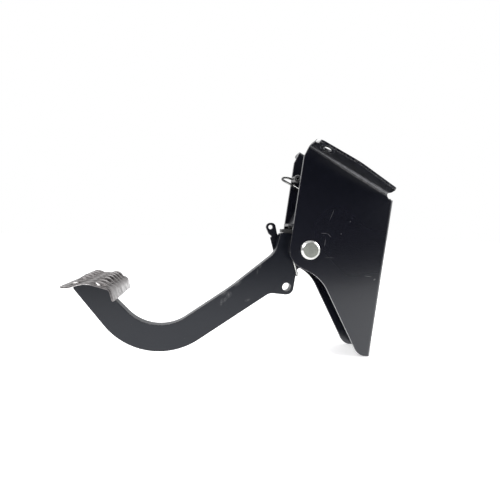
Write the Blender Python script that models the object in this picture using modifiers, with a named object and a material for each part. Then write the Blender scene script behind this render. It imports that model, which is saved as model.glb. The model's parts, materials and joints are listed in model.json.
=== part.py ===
"""Rear brake pedal: a folded sheet bracket that carries a plate arm on a pivot pin.

Metres, +Z up. +X runs from the foot pad to the bracket, +Y away from the cheek
that holds the pin's head. The pedal stands on the bracket's foot and on the
belly of its arm. Places are measured from the pivot's axis, and the finished
pedal is set with its origin under the middle of its box.
"""

import math

import bmesh
import bpy
from mathutils import Matrix, Vector

# Whole pedal
PIVOT_HEIGHT = 0.1000        # pivot axis above the floor
SEAT_GAP = 0.0003            # clearance between pieces that touch
RUNNING_GAP = 0.0001         # clearance of the bushes on the pin
ARC_ERROR = 0.00006          # how far an arc's chords may leave the arc
ARC_STEP_MAX = 15.0          # widest step along an arc, degrees

# Bracket: sheet folded into a channel with two turned-out flanges
SHEET = 0.0025
BRACKET_WIDTH = 0.030        # over the outer faces of the cheeks
BEND_INSIDE = 0.0015         # inside radius of every fold
BEND_STEPS = 5
NOSE_RADIUS = 0.0183         # cheek's round nose, about the pivot
FRONT_LEAN = 7.45            # front edge of the cheek from upright, degrees
BACK_LEAN = 6.94             # web from upright, degrees
BACK_REACH = 0.0733          # pivot to the web's outer face, level
TOP_FALL = 29.55             # fall of the flanges from level, degrees
TOP_HEIGHT = 0.0942          # underside of the flanges straight above the pivot axis
CHIN_FALL = 26.1             # cheek's lower front edge from level, degrees
SHIN_LEAN = 26.9             # cheek's lower shank edge from upright, degrees
SHIN_RADIUS = 0.038
FOOT_LENGTH = 0.0118         # flat foot of each cheek
HEEL_RADIUS = 0.011
CHAMFER_DROP = 0.0095        # cut at the cheek's top front corner
CHAMFER_BACK = 0.0038
CHAMFER_RADIUS = 0.002
FLANGE_DEPTH = 0.0192        # flange beyond the cheek's outer face, widest
FLANGE_DEPTH_FRONT = 0.0166
FLANGE_DEPTH_BACK = 0.0136
FLANGE_WIDEST_AT = 0.042     # from the flange's front end
FLANGE_FRONT_RADIUS = 0.007
FLANGE_SIDE_RADIUS = 0.060
FLANGE_BACK_RADIUS = 0.0025
FLANGE_STOP = 0.0078         # flange's back end before the corner of the folds
FLANGE_SLANT = 0.0030        # its free corner farther forward than its fold
RELIEF_RADIUS = 0.0048       # round notch where the two folds of a cheek meet
RELIEF_BACK = 0.0038         # its centre before the corner of the folds
FLANGE_HOLE_RADIUS = 0.0038
FLANGE_HOLE_ALONG = 0.0130   # from the flange's front end
FLANGE_HOLE_OUT = 0.0110     # from the cheek's outer face
ROD_WINDOW_RADIUS = 0.0100   # opening in the web behind the rod hole
CYLINDER_HOLE_RADIUS = 0.0042
CYLINDER_HOLE_SPACING = 0.040
EDGE_ROUND = 0.0003          # broken edges of sheet and plate

# Pivot pin and its retainers
PIN_RADIUS = 0.006
PIN_HEAD_LIP = 0.0028        # head beyond the pin's side
PIN_HEAD_HEIGHT = 0.0032
PIN_HEAD_CHAMFER = 0.0018
PIN_END = 0.0028             # pin beyond its clip
PIN_CHAMFER = 0.0008
WASHER_LIP = 0.0052
WASHER_THICKNESS = 0.0016
CLIP_THICKNESS = 0.0012
CLIP_LIP = 0.0028
CLIP_BITE = 0.0008           # depth of the clip's groove
CLIP_MOUTH = 52.0            # half of the clip's open angle, degrees

# Hub: tube through the arm, running on two flanged bushes
BUSH_WALL = 0.0031
BUSH_LIP = 0.0023            # bush's flange beyond the tube's bore
BUSH_FLANGE_THICKNESS = 0.0010
HUB_WALL = 0.0032
BUSH_LENGTH = 0.0092

# Pedal arm: flat plate
ARM_THICKNESS = 0.008
ARM_EDGE_ROUND = 0.0005
BOSS_RADIUS = 0.0184
BOSS_END = -99.6             # where the boss ends above the lobe, degrees
BOSS_TOP = 0.0152            # arm's level top above the pivot axis
HEAD_FRONT = -0.0243         # front of the arm's top corner
HEAD_RADIUS = 0.002
NECK_X = -0.0286             # bend between the arm's head and its upper edge
NECK_Z = -0.0038
NECK_RADIUS = 0.018
SADDLE_X = -0.0713           # shallow bend of the upper edge
SADDLE_Z = -0.0382
SADDLE_RADIUS = 0.150
HOLLOW_X = -0.1436           # upper edge above the belly
HOLLOW_Z = -0.0871
HOLLOW_RADIUS = 0.0433
HEEL_DEPTH = 0.0125          # arm's end at the pad's fold, below the pad
ARM_HEEL_RADIUS = 0.006
TOE_DEPTH = 0.0058           # arm's end at the pad's front, below the pad
TOE_RADIUS = 0.0015
TOE_SETBACK = 0.0004         # arm's end behind the pad's front edge
HEEL_SETBACK = 0.0040        # arm's end in front of the pad's fold
BELLY_X = -0.1388            # middle of the belly's arc
BELLY_RADIUS = 0.0672
THROAT_X = -0.0335           # lower edge in front of the lobe
THROAT_Z = -0.0430
THROAT_RADIUS = 0.010
LOBE_ROOT_X = -0.0076        # lower edge behind the lobe
LOBE_ROOT_Z = -0.0188
LOBE_ROOT_RADIUS = 0.005
ROD_HOLE_X = -0.0172
ROD_HOLE_Z = -0.0371
ROD_HOLE_RADIUS = 0.0041
LOBE_WALL = 0.0031           # plate round the rod hole
LOBE_BACK = 0.0058           # lobe's corner behind the hole
LOBE_DROP = 0.0080           # lobe's corner below the hole

# Foot pad: pressed sheet
PAD_SHEET = 0.0018
PAD_WIDTH = 0.058
PAD_FRONT = -0.2197
PAD_BACK = -0.1784           # fold between the pad's top and its lip
PAD_FRONT_Z = -0.0346        # underside at the front edge
PAD_CROWN_Z = -0.0302        # corner that the crown rounds
PAD_BACK_Z = -0.0361
PAD_FRONT_FLAT = 0.0072      # straight front strip of the pad
PAD_FRONT_RADIUS = 0.020
PAD_CROWN_RADIUS = 0.024
LIP_HEIGHT = 0.0103
LIP_SPLAY = 17.0             # lip from upright, degrees
LIP_FOLD_RADIUS = 0.0034
PAD_CORNER_RADIUS = 0.0012
RIDGE_ROWS = 7
RIDGE_PITCH = 0.0078
RIDGE_WIDTH = 0.0060
RIDGE_HEIGHT = 0.0045
RIDGE_SADDLE = 0.0010        # height of a ridge between its two humps
RIDGE_LENGTH = 0.0165
RIDGE_RAMP = 0.0066
RIDGE_FIRST = 0.0124         # middle of the first hump from the pad's front edge
RIDGE_SPACING = 0.0205       # from the first hump to the second
RIDGE_CELLS = 6              # mesh cells across a ridge's pitch
EDGE_CELLS = 2               # mesh cells from the last ridge to the pad's edge
PAD_CELLS = 26               # mesh cells along the pad's profile

# Return stop
BRIDGE_FRONT = -0.0164       # front edge of the stop plate
BRIDGE_SHELF = 0.0047        # level part of the stop plate
BRIDGE_RISE = 62.4           # slope of its raised part, degrees
BRIDGE_LEG = 0.0150
BRIDGE_FOLD_RADIUS = 0.0020
BUMPER_RADIUS = 0.0036
BUMPER_TAPER = 0.0004
BUMPER_THICKNESS = 0.0021
BLOCK_THICKNESS = 0.0033
BLOCK_LENGTH = 0.0150
BLOCK_FRONT = -0.0231

# Switch tab on the arm's far face
TAB_THICKNESS = 0.0025
TAB_EYE_X = -0.0321
TAB_EYE_Z = 0.0205
TAB_EYE_WALL = 0.0022
TAB_HOLE_RADIUS = 0.0021
TAB_ROOT_X = -0.0206         # middle of the tab's foot on the arm
TAB_ROOT_Z = -0.0030
TAB_ROOT_WIDTH = 0.0112
TAB_ROOT_HEIGHT = 0.0170
TAB_ROOT_RADIUS = 0.004
TAB_WAIST_RADIUS = 0.003
TAB_NOTCH = 0.0016           # small step in the tab's front edge

# Torsion spring
SPRING_WIRE_RADIUS = 0.00095
SPRING_HUB_GAP = 0.00045     # between the coil and the hub tube
SPRING_PITCH = 0.0021
SPRING_START = 196.0         # where the arm's leg leaves the coil, degrees
SPRING_END = 30.0            # where the web's leg leaves the coil, degrees
SPRING_TURNS = 2
SPRING_LEG = 0.0228
SPRING_HOOK = 0.0080
SPRING_FOOT = 0.0080
SPRING_BEND_RADIUS = 0.0018
COIL_POINTS = 20             # points on each turn

# Wire guide on the far cheek
GUIDE_STUD_RADIUS = 0.0038
GUIDE_STUD_LENGTH = 0.0085
GUIDE_STUD_SOCKET = 0.0012
GUIDE_STUD_X = -0.0062
GUIDE_STUD_DROP = 0.0258     # below the underside of the flanges above the pivot
GUIDE_WIRE_RADIUS = 0.00110
GUIDE_REACH = 0.0154         # from the stud's middle to the loop's tip
GUIDE_LOOP_RADIUS = 0.0015
GUIDE_RISE = 0.0016          # loop's upper wire above the stud's middle
GUIDE_FALL = 0.0098          # loop's lower end below the stud's middle
GUIDE_END = 0.0040           # loop's lower end behind the stud's middle

CHEEK_OUTER = BRACKET_WIDTH / 2
CHEEK_INNER = CHEEK_OUTER - SHEET
ARM_HALF = ARM_THICKNESS / 2
PIN_HEAD_RADIUS = PIN_RADIUS + PIN_HEAD_LIP
BUSH_BORE_RADIUS = PIN_RADIUS + RUNNING_GAP
HUB_BORE_RADIUS = BUSH_BORE_RADIUS + BUSH_WALL + SEAT_GAP
HUB_RADIUS = HUB_BORE_RADIUS + HUB_WALL
GUIDE_STUD_Z = TOP_HEIGHT - GUIDE_STUD_DROP
SPRING_COIL_RADIUS = HUB_RADIUS + SPRING_HUB_GAP + SPRING_WIRE_RADIUS


def clear_scene():
    """Start from an empty scene."""
    for obj in list(bpy.data.objects):
        bpy.data.objects.remove(obj, do_unlink=True)


def new_collection(name):
    """Add a collection to the scene."""
    collection = bpy.data.collections.new(name)
    bpy.context.scene.collection.children.link(collection)
    return collection


def material(name, colour, roughness, metallic):
    """Make a plain Principled material."""
    mat = bpy.data.materials.new(name)
    mat.use_nodes = True
    shader = mat.node_tree.nodes["Principled BSDF"]
    shader.inputs["Base Color"].default_value = (*colour, 1.0)
    shader.inputs["Roughness"].default_value = roughness
    shader.inputs["Metallic"].default_value = metallic
    return mat


def arc_steps(radius, turn):
    """Number of chords for an arc of the given turn in degrees."""
    fine = math.degrees(2 * math.acos(max(0.0, 1 - ARC_ERROR / max(radius, 2 * ARC_ERROR))))
    return max(1, math.ceil(abs(turn) / min(fine, ARC_STEP_MAX)))


def arc(centre, radius, start, end):
    """Points of an arc from start to end, in degrees."""
    count = arc_steps(radius, end - start)
    points = []
    for index in range(count + 1):
        angle = math.radians(start + (end - start) * index / count)
        points.append((centre[0] + radius * math.cos(angle), centre[1] + radius * math.sin(angle)))
    return points


def circle(centre, radius):
    """Points of a full circle, without the repeated last one."""
    return arc(centre, radius, 0.0, 360.0)[:-1]


def direction(angle):
    """Unit vector at an angle from +X, in degrees."""
    return Vector((math.cos(math.radians(angle)), math.sin(math.radians(angle))))


def meet(point_a, angle_a, point_b, angle_b):
    """Crossing point of two lines, each a point and an angle."""
    a = Vector(point_a)
    b = Vector(point_b)
    da = direction(angle_a)
    db = direction(angle_b)
    along = ((b - a).x * db.y - (b - a).y * db.x) / (da.x * db.y - da.y * db.x)
    return tuple(a + da * along)


def rounded(corners, closed=True):
    """Outline through corners (x, z, radius), each corner turned into an arc of its radius."""
    points = []
    count = len(corners)
    for index, (x, z, radius) in enumerate(corners):
        here = Vector((x, z))
        ends_here = not closed and index in (0, count - 1)
        if radius == 0 or ends_here:
            points.append((x, z))
            continue
        back = (Vector(corners[index - 1][:2]) - here).normalized()
        ahead = (Vector(corners[(index + 1) % count][:2]) - here).normalized()
        half = back.angle(ahead) / 2
        centre = here + (back + ahead).normalized() * radius / math.sin(half)
        first = here + back * radius / math.tan(half) - centre
        last = here + ahead * radius / math.tan(half) - centre
        start = math.degrees(math.atan2(first.y, first.x))
        turn = math.degrees(math.atan2(last.y, last.x)) - start
        turn = (turn + 180) % 360 - 180
        points += arc(centre, radius, start, start + turn)
    return points


def link(obj, collection, parent, mat=None):
    """Put an object in its collection, under its parent, with its material."""
    collection.objects.link(obj)
    obj.parent = parent
    if mat:
        obj.data.materials.append(mat)
    return obj


def round_edges(obj, width, segments=1, angle=35.0):
    """Weld an extruded outline's caps and break its edges."""
    weld = obj.modifiers.new("weld", "WELD")
    weld.merge_threshold = 0.00001
    bevel = obj.modifiers.new("edges", "BEVEL")
    bevel.width = width
    bevel.segments = segments
    bevel.limit_method = "ANGLE"
    bevel.angle_limit = math.radians(angle)


def plate(name, outlines, thickness, middle, collection, parent, mat):
    """Flat plate: closed outlines in X and Z, extruded to both sides of y = middle."""
    curve = bpy.data.curves.new(name, "CURVE")
    curve.dimensions = "2D"
    curve.fill_mode = "BOTH"
    curve.extrude = thickness / 2
    for outline in outlines:
        spline = curve.splines.new("POLY")
        spline.points.add(len(outline) - 1)
        for point, (x, z) in zip(spline.points, outline):
            point.co = (x, z, 0.0, 1.0)
        spline.use_cyclic_u = True
    obj = bpy.data.objects.new(name, curve)
    obj.rotation_euler = (math.pi / 2, 0.0, 0.0)
    obj.location = (0.0, middle, 0.0)
    return link(obj, collection, parent, mat)


def turned(name, profile, steps, collection, parent, mat):
    """Turned piece: profile (radius, y) spun about the Y axis, from its far end to its near end."""
    mesh = bpy.data.meshes.new(name)
    verts = [(radius, 0.0, y) for radius, y in profile]
    edges = [(index, index + 1) for index in range(len(verts) - 1)]
    if profile[0][0] > 0:
        edges.append((len(verts) - 1, 0))
    mesh.from_pydata(verts, edges, [])
    obj = bpy.data.objects.new(name, mesh)
    obj.rotation_euler = (-math.pi / 2, 0.0, 0.0)
    screw = obj.modifiers.new("turn", "SCREW")
    screw.steps = steps
    screw.render_steps = steps
    screw.use_merge_vertices = True
    screw.merge_threshold = 0.00001
    screw.use_smooth_shade = False
    return link(obj, collection, parent, mat)


def wire(name, points, radius, collection, parent, mat):
    """Round wire along a list of points."""
    curve = bpy.data.curves.new(name, "CURVE")
    curve.dimensions = "3D"
    curve.bevel_depth = radius
    curve.bevel_resolution = 2
    curve.use_fill_caps = True
    spline = curve.splines.new("POLY")
    spline.points.add(len(points) - 1)
    for target, point in zip(spline.points, points):
        target.co = (*point, 1.0)
    obj = bpy.data.objects.new(name, curve)
    return link(obj, collection, parent, mat)


def soft_corner(before, corner, after, radius):
    """Points that round one corner of a wire's route, by a quadratic curve."""
    start = corner + (before - corner).normalized() * radius
    end = corner + (after - corner).normalized() * radius
    points = []
    for index in range(5):
        t = index / 4
        points.append(start * (1 - t) ** 2 + corner * 2 * t * (1 - t) + end * t ** 2)
    return points


def cylinder_cutter(name, radius, length, centre, axis, collection, parent):
    """Hidden cylinder that cuts a hole along axis."""
    mesh = bpy.data.meshes.new(name)
    shape = bmesh.new()
    bmesh.ops.create_cone(
        shape, cap_ends=True, segments=28, radius1=radius, radius2=radius, depth=length)
    shape.to_mesh(mesh)
    shape.free()
    cutter = bpy.data.objects.new(name, mesh)
    cutter.location = centre
    cutter.rotation_euler = Vector(axis).to_track_quat("Z", "Y").to_euler()
    cutter.hide_render = True
    cutter.display_type = "WIRE"
    return link(cutter, collection, parent)


def cut(obj, cutter):
    """Take the cutter's shape out of the object."""
    boolean = obj.modifiers.new(cutter.name, "BOOLEAN")
    boolean.operation = "DIFFERENCE"
    boolean.solver = "EXACT"
    boolean.object = cutter


# Bracket

BACK_UP = 90.0 - BACK_LEAN                  # direction of the web, upwards
WEB_OUT = direction(-BACK_LEAN)             # outward normal of the web
FLANGE_UP = direction(90.0 - TOP_FALL)      # normal of the flanges
FLANGE_ALONG = direction(-TOP_FALL)         # along the flanges, to the back
FOLD_RADIUS = BEND_INSIDE + SHEET / 2       # of the sheet's middle


def foot_height():
    """Height of the cheeks' feet: the web's outer edge hangs lower and meets the floor."""
    return (FOLD_RADIUS + SHEET / 2) * math.sin(math.radians(BACK_LEAN)) - PIVOT_HEIGHT


def front_tangent():
    """Point where the cheek's front edge meets its nose."""
    return tuple(direction(180.0 - FRONT_LEAN) * NOSE_RADIUS)


def flange_front():
    """Front end of the flanges' underside, in X and Z."""
    corner = meet((0.0, TOP_HEIGHT), -TOP_FALL, front_tangent(), 90.0 - FRONT_LEAN)
    return Vector(corner) + FLANGE_ALONG * CHAMFER_BACK


def fold_corner():
    """Corner of the web's outer face and the flanges' underside."""
    return Vector(meet((BACK_REACH, 0.0), BACK_UP, (0.0, TOP_HEIGHT), -TOP_FALL))


def flange_length():
    """Length of the flanges along their folds."""
    return (fold_corner() - flange_front()).length - FLANGE_STOP


def cheek_front():
    """A cheek's free edge, from its top front corner round the nose and down to its foot."""
    foot = foot_height()
    chin_tangent = tuple(direction(270.0 - CHIN_FALL) * NOSE_RADIUS)
    web_foot = meet((BACK_REACH, 0.0), BACK_UP, (0.0, foot), 0.0)
    foot_front = web_foot[0] - FOOT_LENGTH
    shin = meet(chin_tangent, -CHIN_FALL, (foot_front, foot), 90.0 + SHIN_LEAN)
    nose = meet(front_tangent(), 90.0 - FRONT_LEAN, chin_tangent, -CHIN_FALL)
    chamfer_low = flange_front() - Vector((CHAMFER_BACK, CHAMFER_DROP))
    chamfer_end = meet(tuple(chamfer_low), 0.0, front_tangent(), 90.0 - FRONT_LEAN)
    corners = [
        (*flange_front(), 0.0),
        (*chamfer_end, CHAMFER_RADIUS),
        (*nose, NOSE_RADIUS),
        (*shin, SHIN_RADIUS),
        (foot_front, foot, HEEL_RADIUS),
        (*web_foot, 0.0),
    ]
    return rounded(corners, closed=False)[1:-1]


def cheek_corners():
    """Where a cheek meets its folds: foot and top of the web fold, back and front of the flange."""
    web_line = Vector(meet((BACK_REACH, 0.0), BACK_UP, (0.0, foot_height()), 0.0))
    web_line -= WEB_OUT * (FOLD_RADIUS + SHEET / 2)
    flange_line = flange_front() - FLANGE_UP * (FOLD_RADIUS - SHEET / 2)
    inner_corner = Vector(meet(web_line, BACK_UP, flange_line, -TOP_FALL))
    web_foot = meet(web_line, BACK_UP, (0.0, foot_height()), 0.0)
    web_top = inner_corner - direction(BACK_UP) * SEAT_GAP
    flange_back = flange_line + FLANGE_ALONG * flange_length()
    return web_foot, web_top, flange_back, flange_line


def folded_strip(shape, verts, pivot, axis, turn):
    """Turn an edge about a fold's axis in steps and return the edge it ends on."""
    for _ in range(BEND_STEPS):
        step = Matrix.Rotation(turn / BEND_STEPS, 4, axis)
        fresh = [shape.verts.new(pivot + step @ (vert.co - pivot)) for vert in verts]
        shape.faces.new((verts[0], verts[1], fresh[1], fresh[0]))
        verts = fresh
    return verts


def flange_outline():
    """Free edge of a flange as (along, out), from its front end to its back end."""
    reach = SHEET / 2 + FLANGE_DEPTH
    front = SHEET / 2 + FLANGE_DEPTH_FRONT
    back = SHEET / 2 + FLANGE_DEPTH_BACK
    length = flange_length()
    corners = [
        (0.0, 0.0, 0.0),
        (0.0, front, FLANGE_FRONT_RADIUS),
        (FLANGE_WIDEST_AT, reach, FLANGE_SIDE_RADIUS),
        (length - FLANGE_SLANT, back, FLANGE_BACK_RADIUS),
        (length, 0.0, 0.0),
    ]
    return rounded(corners, closed=False)[1:-1]


def bracket_sheet():
    """Middle surface of the bracket's near half: cheek, web fold, half web, flange fold, flange."""
    web_foot, web_top, flange_back, flange_end = cheek_corners()
    middle = -(CHEEK_OUTER - SHEET / 2)
    shape = bmesh.new()

    def on_cheek(point):
        return shape.verts.new((point[0], middle, point[1]))

    web_edge = [on_cheek(web_foot), on_cheek(web_top)]
    flange_edge = [on_cheek(flange_back), on_cheek(flange_end)]
    shape.faces.new(web_edge + flange_edge + [on_cheek(point) for point in cheek_front()])

    web_axis = Vector((direction(BACK_UP).x, 0.0, direction(BACK_UP).y))
    web_pivot = web_edge[0].co + Vector((0.0, FOLD_RADIUS, 0.0))
    turned_in = folded_strip(shape, web_edge[::-1], web_pivot, web_axis, math.pi / 2)
    halfway = [shape.verts.new((vert.co.x, 0.0, vert.co.z)) for vert in turned_in]
    shape.faces.new((turned_in[0], turned_in[1], halfway[1], halfway[0]))

    flange_axis = Vector((FLANGE_ALONG.x, 0.0, FLANGE_ALONG.y))
    flange_pivot = flange_edge[0].co + Vector((0.0, -FOLD_RADIUS, 0.0))
    turned_out = folded_strip(shape, flange_edge[::-1], flange_pivot, flange_axis, math.pi / 2)
    origin = turned_out[0].co.copy()
    free = [
        shape.verts.new(origin + flange_axis * along - Vector((0.0, out - FOLD_RADIUS, 0.0)))
        for along, out in flange_outline()
    ]
    shape.faces.new([turned_out[1], turned_out[0]] + free)
    bmesh.ops.recalc_face_normals(shape, faces=shape.faces)
    return shape


def bracket_cutters(cutters, parent):
    """Holes of the bracket: pin, flange bolts, fold reliefs, rod window, cylinder bolts."""
    across = (0.0, 1.0, 0.0)
    notch = fold_corner() - FLANGE_ALONG * RELIEF_BACK + FLANGE_UP * SHEET / 2
    made = [cylinder_cutter("pin_hole", PIN_RADIUS + SEAT_GAP, 2 * BRACKET_WIDTH,
                            (0.0, 0.0, 0.0), across, cutters, parent)]
    flange_normal = (FLANGE_UP.x, 0.0, FLANGE_UP.y)
    hole = flange_front() + FLANGE_ALONG * FLANGE_HOLE_ALONG
    for side, label in ((-1, "near"), (1, "far")):
        centre = (hole.x, side * (CHEEK_OUTER + FLANGE_HOLE_OUT), hole.y)
        made.append(cylinder_cutter(label + "_bolt_hole", FLANGE_HOLE_RADIUS, 6 * SHEET,
                                    centre, flange_normal, cutters, parent))
        centre = (notch.x, side * CHEEK_OUTER, notch.y)
        made.append(cylinder_cutter(label + "_relief", RELIEF_RADIUS, 4 * FOLD_RADIUS,
                                    centre, across, cutters, parent))
    web_normal = (WEB_OUT.x, 0.0, WEB_OUT.y)
    window = Vector(meet((BACK_REACH, 0.0), BACK_UP, (ROD_HOLE_X, ROD_HOLE_Z), -BACK_LEAN))
    places = (("rod_window", 0.0, ROD_WINDOW_RADIUS),
              ("upper_cylinder_hole", CYLINDER_HOLE_SPACING / 2, CYLINDER_HOLE_RADIUS),
              ("lower_cylinder_hole", -CYLINDER_HOLE_SPACING / 2, CYLINDER_HOLE_RADIUS))
    for label, up, radius in places:
        centre = window + direction(BACK_UP) * up
        made.append(cylinder_cutter(label, radius, 6 * SHEET, (centre.x, 0.0, centre.y),
                                    web_normal, cutters, parent))
    return made


def build_bracket(collection, cutters, parent, mat):
    """Folded sheet bracket, one piece."""
    shape = bracket_sheet()
    mesh = bpy.data.meshes.new("bracket")
    shape.to_mesh(mesh)
    shape.free()
    obj = link(bpy.data.objects.new("bracket", mesh), collection, parent, mat)
    mirror = obj.modifiers.new("far half", "MIRROR")
    mirror.use_axis = (False, True, False)
    mirror.use_clip = True
    mirror.merge_threshold = 0.00001
    solid = obj.modifiers.new("sheet", "SOLIDIFY")
    solid.thickness = SHEET
    solid.offset = 0.0
    solid.use_even_offset = True
    for cutter in bracket_cutters(cutters, parent):
        cut(obj, cutter)
    return obj


# Pivot

def build_pin(collection, parent, mat):
    """Headed pivot pin with a groove for its clip."""
    head_face = -(CHEEK_OUTER + SEAT_GAP + PIN_HEAD_HEIGHT)
    head_seat = -(CHEEK_OUTER + SEAT_GAP)
    groove = CHEEK_OUTER + 2 * SEAT_GAP + WASHER_THICKNESS
    groove_end = groove + CLIP_THICKNESS + 2 * SEAT_GAP
    end = groove_end + PIN_END
    profile = [
        (0.0, end),
        (PIN_RADIUS - PIN_CHAMFER, end),
        (PIN_RADIUS, end - PIN_CHAMFER),
        (PIN_RADIUS, groove_end),
        (PIN_RADIUS - CLIP_BITE, groove_end),
        (PIN_RADIUS - CLIP_BITE, groove),
        (PIN_RADIUS, groove),
        (PIN_RADIUS, head_seat),
        (PIN_HEAD_RADIUS - PIN_HEAD_CHAMFER / 4, head_seat),
        (PIN_HEAD_RADIUS, head_seat - PIN_HEAD_CHAMFER / 4),
        (PIN_HEAD_RADIUS, head_face + PIN_HEAD_CHAMFER * 0.75),
        (PIN_HEAD_RADIUS - PIN_HEAD_CHAMFER, head_face),
        (0.0, head_face),
    ]
    return turned("pivot_pin", profile, 36, collection, parent, mat)


def ring_profile(bore, radius, near, far):
    """Profile of a plain ring, down its outer side and back up its bore."""
    return [(radius, far), (radius, near), (bore, near), (bore, far)]


def build_washer(collection, parent, mat):
    """Plain washer between the far cheek and the clip."""
    near = CHEEK_OUTER + SEAT_GAP
    bore = PIN_RADIUS + SEAT_GAP
    profile = ring_profile(bore, PIN_RADIUS + WASHER_LIP, near, near + WASHER_THICKNESS)
    return turned("pin_washer", profile, 32, collection, parent, mat)


def build_clip(collection, parent, mat):
    """Open spring clip in the pin's groove."""
    bore = PIN_RADIUS - CLIP_BITE + SEAT_GAP
    outer = arc((0.0, 0.0), PIN_RADIUS + CLIP_LIP, 270.0 + CLIP_MOUTH, 630.0 - CLIP_MOUTH)
    inner = arc((0.0, 0.0), bore, 630.0 - CLIP_MOUTH, 270.0 + CLIP_MOUTH)
    near = CHEEK_OUTER + 2 * SEAT_GAP + WASHER_THICKNESS + SEAT_GAP
    return plate("pin_clip", [outer + inner], CLIP_THICKNESS, near + CLIP_THICKNESS / 2,
                 collection, parent, mat)


def build_hub(collection, parent, mat):
    """Tube welded through the arm."""
    end = CHEEK_INNER - 2 * SEAT_GAP - BUSH_FLANGE_THICKNESS
    profile = ring_profile(HUB_BORE_RADIUS, HUB_RADIUS, -end, end)
    return turned("hub_tube", profile, 36, collection, parent, mat)


def build_bush(name, side, collection, parent, mat):
    """Flanged bush in one end of the hub tube; side is -1 near, +1 far."""
    face = CHEEK_INNER - SEAT_GAP
    seat = face - BUSH_FLANGE_THICKNESS
    barrel = HUB_BORE_RADIUS - SEAT_GAP
    flange = HUB_BORE_RADIUS + BUSH_LIP
    profile = [
        (flange, face),
        (flange, seat),
        (barrel, seat),
        (barrel, seat - BUSH_LENGTH),
        (BUSH_BORE_RADIUS, seat - BUSH_LENGTH),
        (BUSH_BORE_RADIUS, face),
    ]
    obj = turned(name, profile, 32, collection, parent, mat)
    if side < 0:
        obj.rotation_euler = (math.pi / 2, 0.0, 0.0)
    return obj


# Pedal arm

def tangent_angle(point, centre, radius, side):
    """Angle of the line from a point that touches a circle; side is +1 left, -1 right."""
    away = Vector(centre) - Vector(point)
    return math.degrees(math.atan2(away.y, away.x) + side * math.asin(radius / away.length))


def belly_corner(toe, throat):
    """Corner that the belly's arc rounds, so that the arc touches the floor."""
    centre = (BELLY_X, BELLY_RADIUS - PIVOT_HEIGHT)
    toe_angle = tangent_angle(toe, centre, BELLY_RADIUS, -1)
    throat_angle = tangent_angle(throat, centre, BELLY_RADIUS, 1)
    return meet(toe, toe_angle, throat, throat_angle)


def arm_end():
    """Arm's end under the pad: low front corner, the pad's own line, low back corner."""
    front = PAD_FRONT + TOE_SETBACK
    back = PAD_BACK - HEEL_SETBACK
    seat = [(front, PAD_FRONT_Z - SEAT_GAP, 0.0)]
    seat += [(x, z - SEAT_GAP, 0.0) for x, z in pad_profile() if front < x < back]
    seat.append((back, pad_height_at(back) - SEAT_GAP, 0.0))
    toe = (front, PAD_FRONT_Z - TOE_DEPTH, TOE_RADIUS)
    heel = (back, PAD_BACK_Z - HEEL_DEPTH, ARM_HEEL_RADIUS)
    return [toe] + seat + [heel]


def arm_outline():
    """Side view of the arm, clockwise from its front end under the pad."""
    end = arm_end()
    throat = (THROAT_X, THROAT_Z)
    top = math.degrees(math.asin(BOSS_TOP / BOSS_RADIUS))
    corners = end + [
        (HOLLOW_X, HOLLOW_Z, HOLLOW_RADIUS),
        (SADDLE_X, SADDLE_Z, SADDLE_RADIUS),
        (NECK_X, NECK_Z, NECK_RADIUS),
        (HEAD_FRONT, BOSS_TOP, HEAD_RADIUS),
    ]
    corners += [(x, z, 0.0) for x, z in arc((0.0, 0.0), BOSS_RADIUS, top, BOSS_END)]
    corners += [
        (LOBE_ROOT_X, LOBE_ROOT_Z, LOBE_ROOT_RADIUS),
        (ROD_HOLE_X + LOBE_BACK, ROD_HOLE_Z - LOBE_DROP, ROD_HOLE_RADIUS + LOBE_WALL),
        (*throat, THROAT_RADIUS),
        (*belly_corner(end[0][:2], throat), BELLY_RADIUS),
    ]
    return rounded(corners)


def build_arm(collection, parent, mat):
    """Flat plate arm with its hub bore and rod hole."""
    outlines = [
        arm_outline(),
        circle((0.0, 0.0), HUB_RADIUS + SEAT_GAP),
        circle((ROD_HOLE_X, ROD_HOLE_Z), ROD_HOLE_RADIUS),
    ]
    obj = plate("pedal_arm", outlines, ARM_THICKNESS, 0.0, collection, parent, mat)
    round_edges(obj, ARM_EDGE_ROUND)
    return obj


def build_stop_block(collection, parent, mat):
    """Small bar on the arm's top that meets the bumper."""
    low = BOSS_TOP + SEAT_GAP
    high = low + BLOCK_THICKNESS
    outline = [
        (BLOCK_FRONT, low),
        (BLOCK_FRONT + BLOCK_LENGTH, low),
        (BLOCK_FRONT + BLOCK_LENGTH, high),
        (BLOCK_FRONT, high),
    ]
    obj = plate("stop_block", [outline], ARM_THICKNESS, 0.0, collection, parent, mat)
    round_edges(obj, EDGE_ROUND)
    return obj


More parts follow.
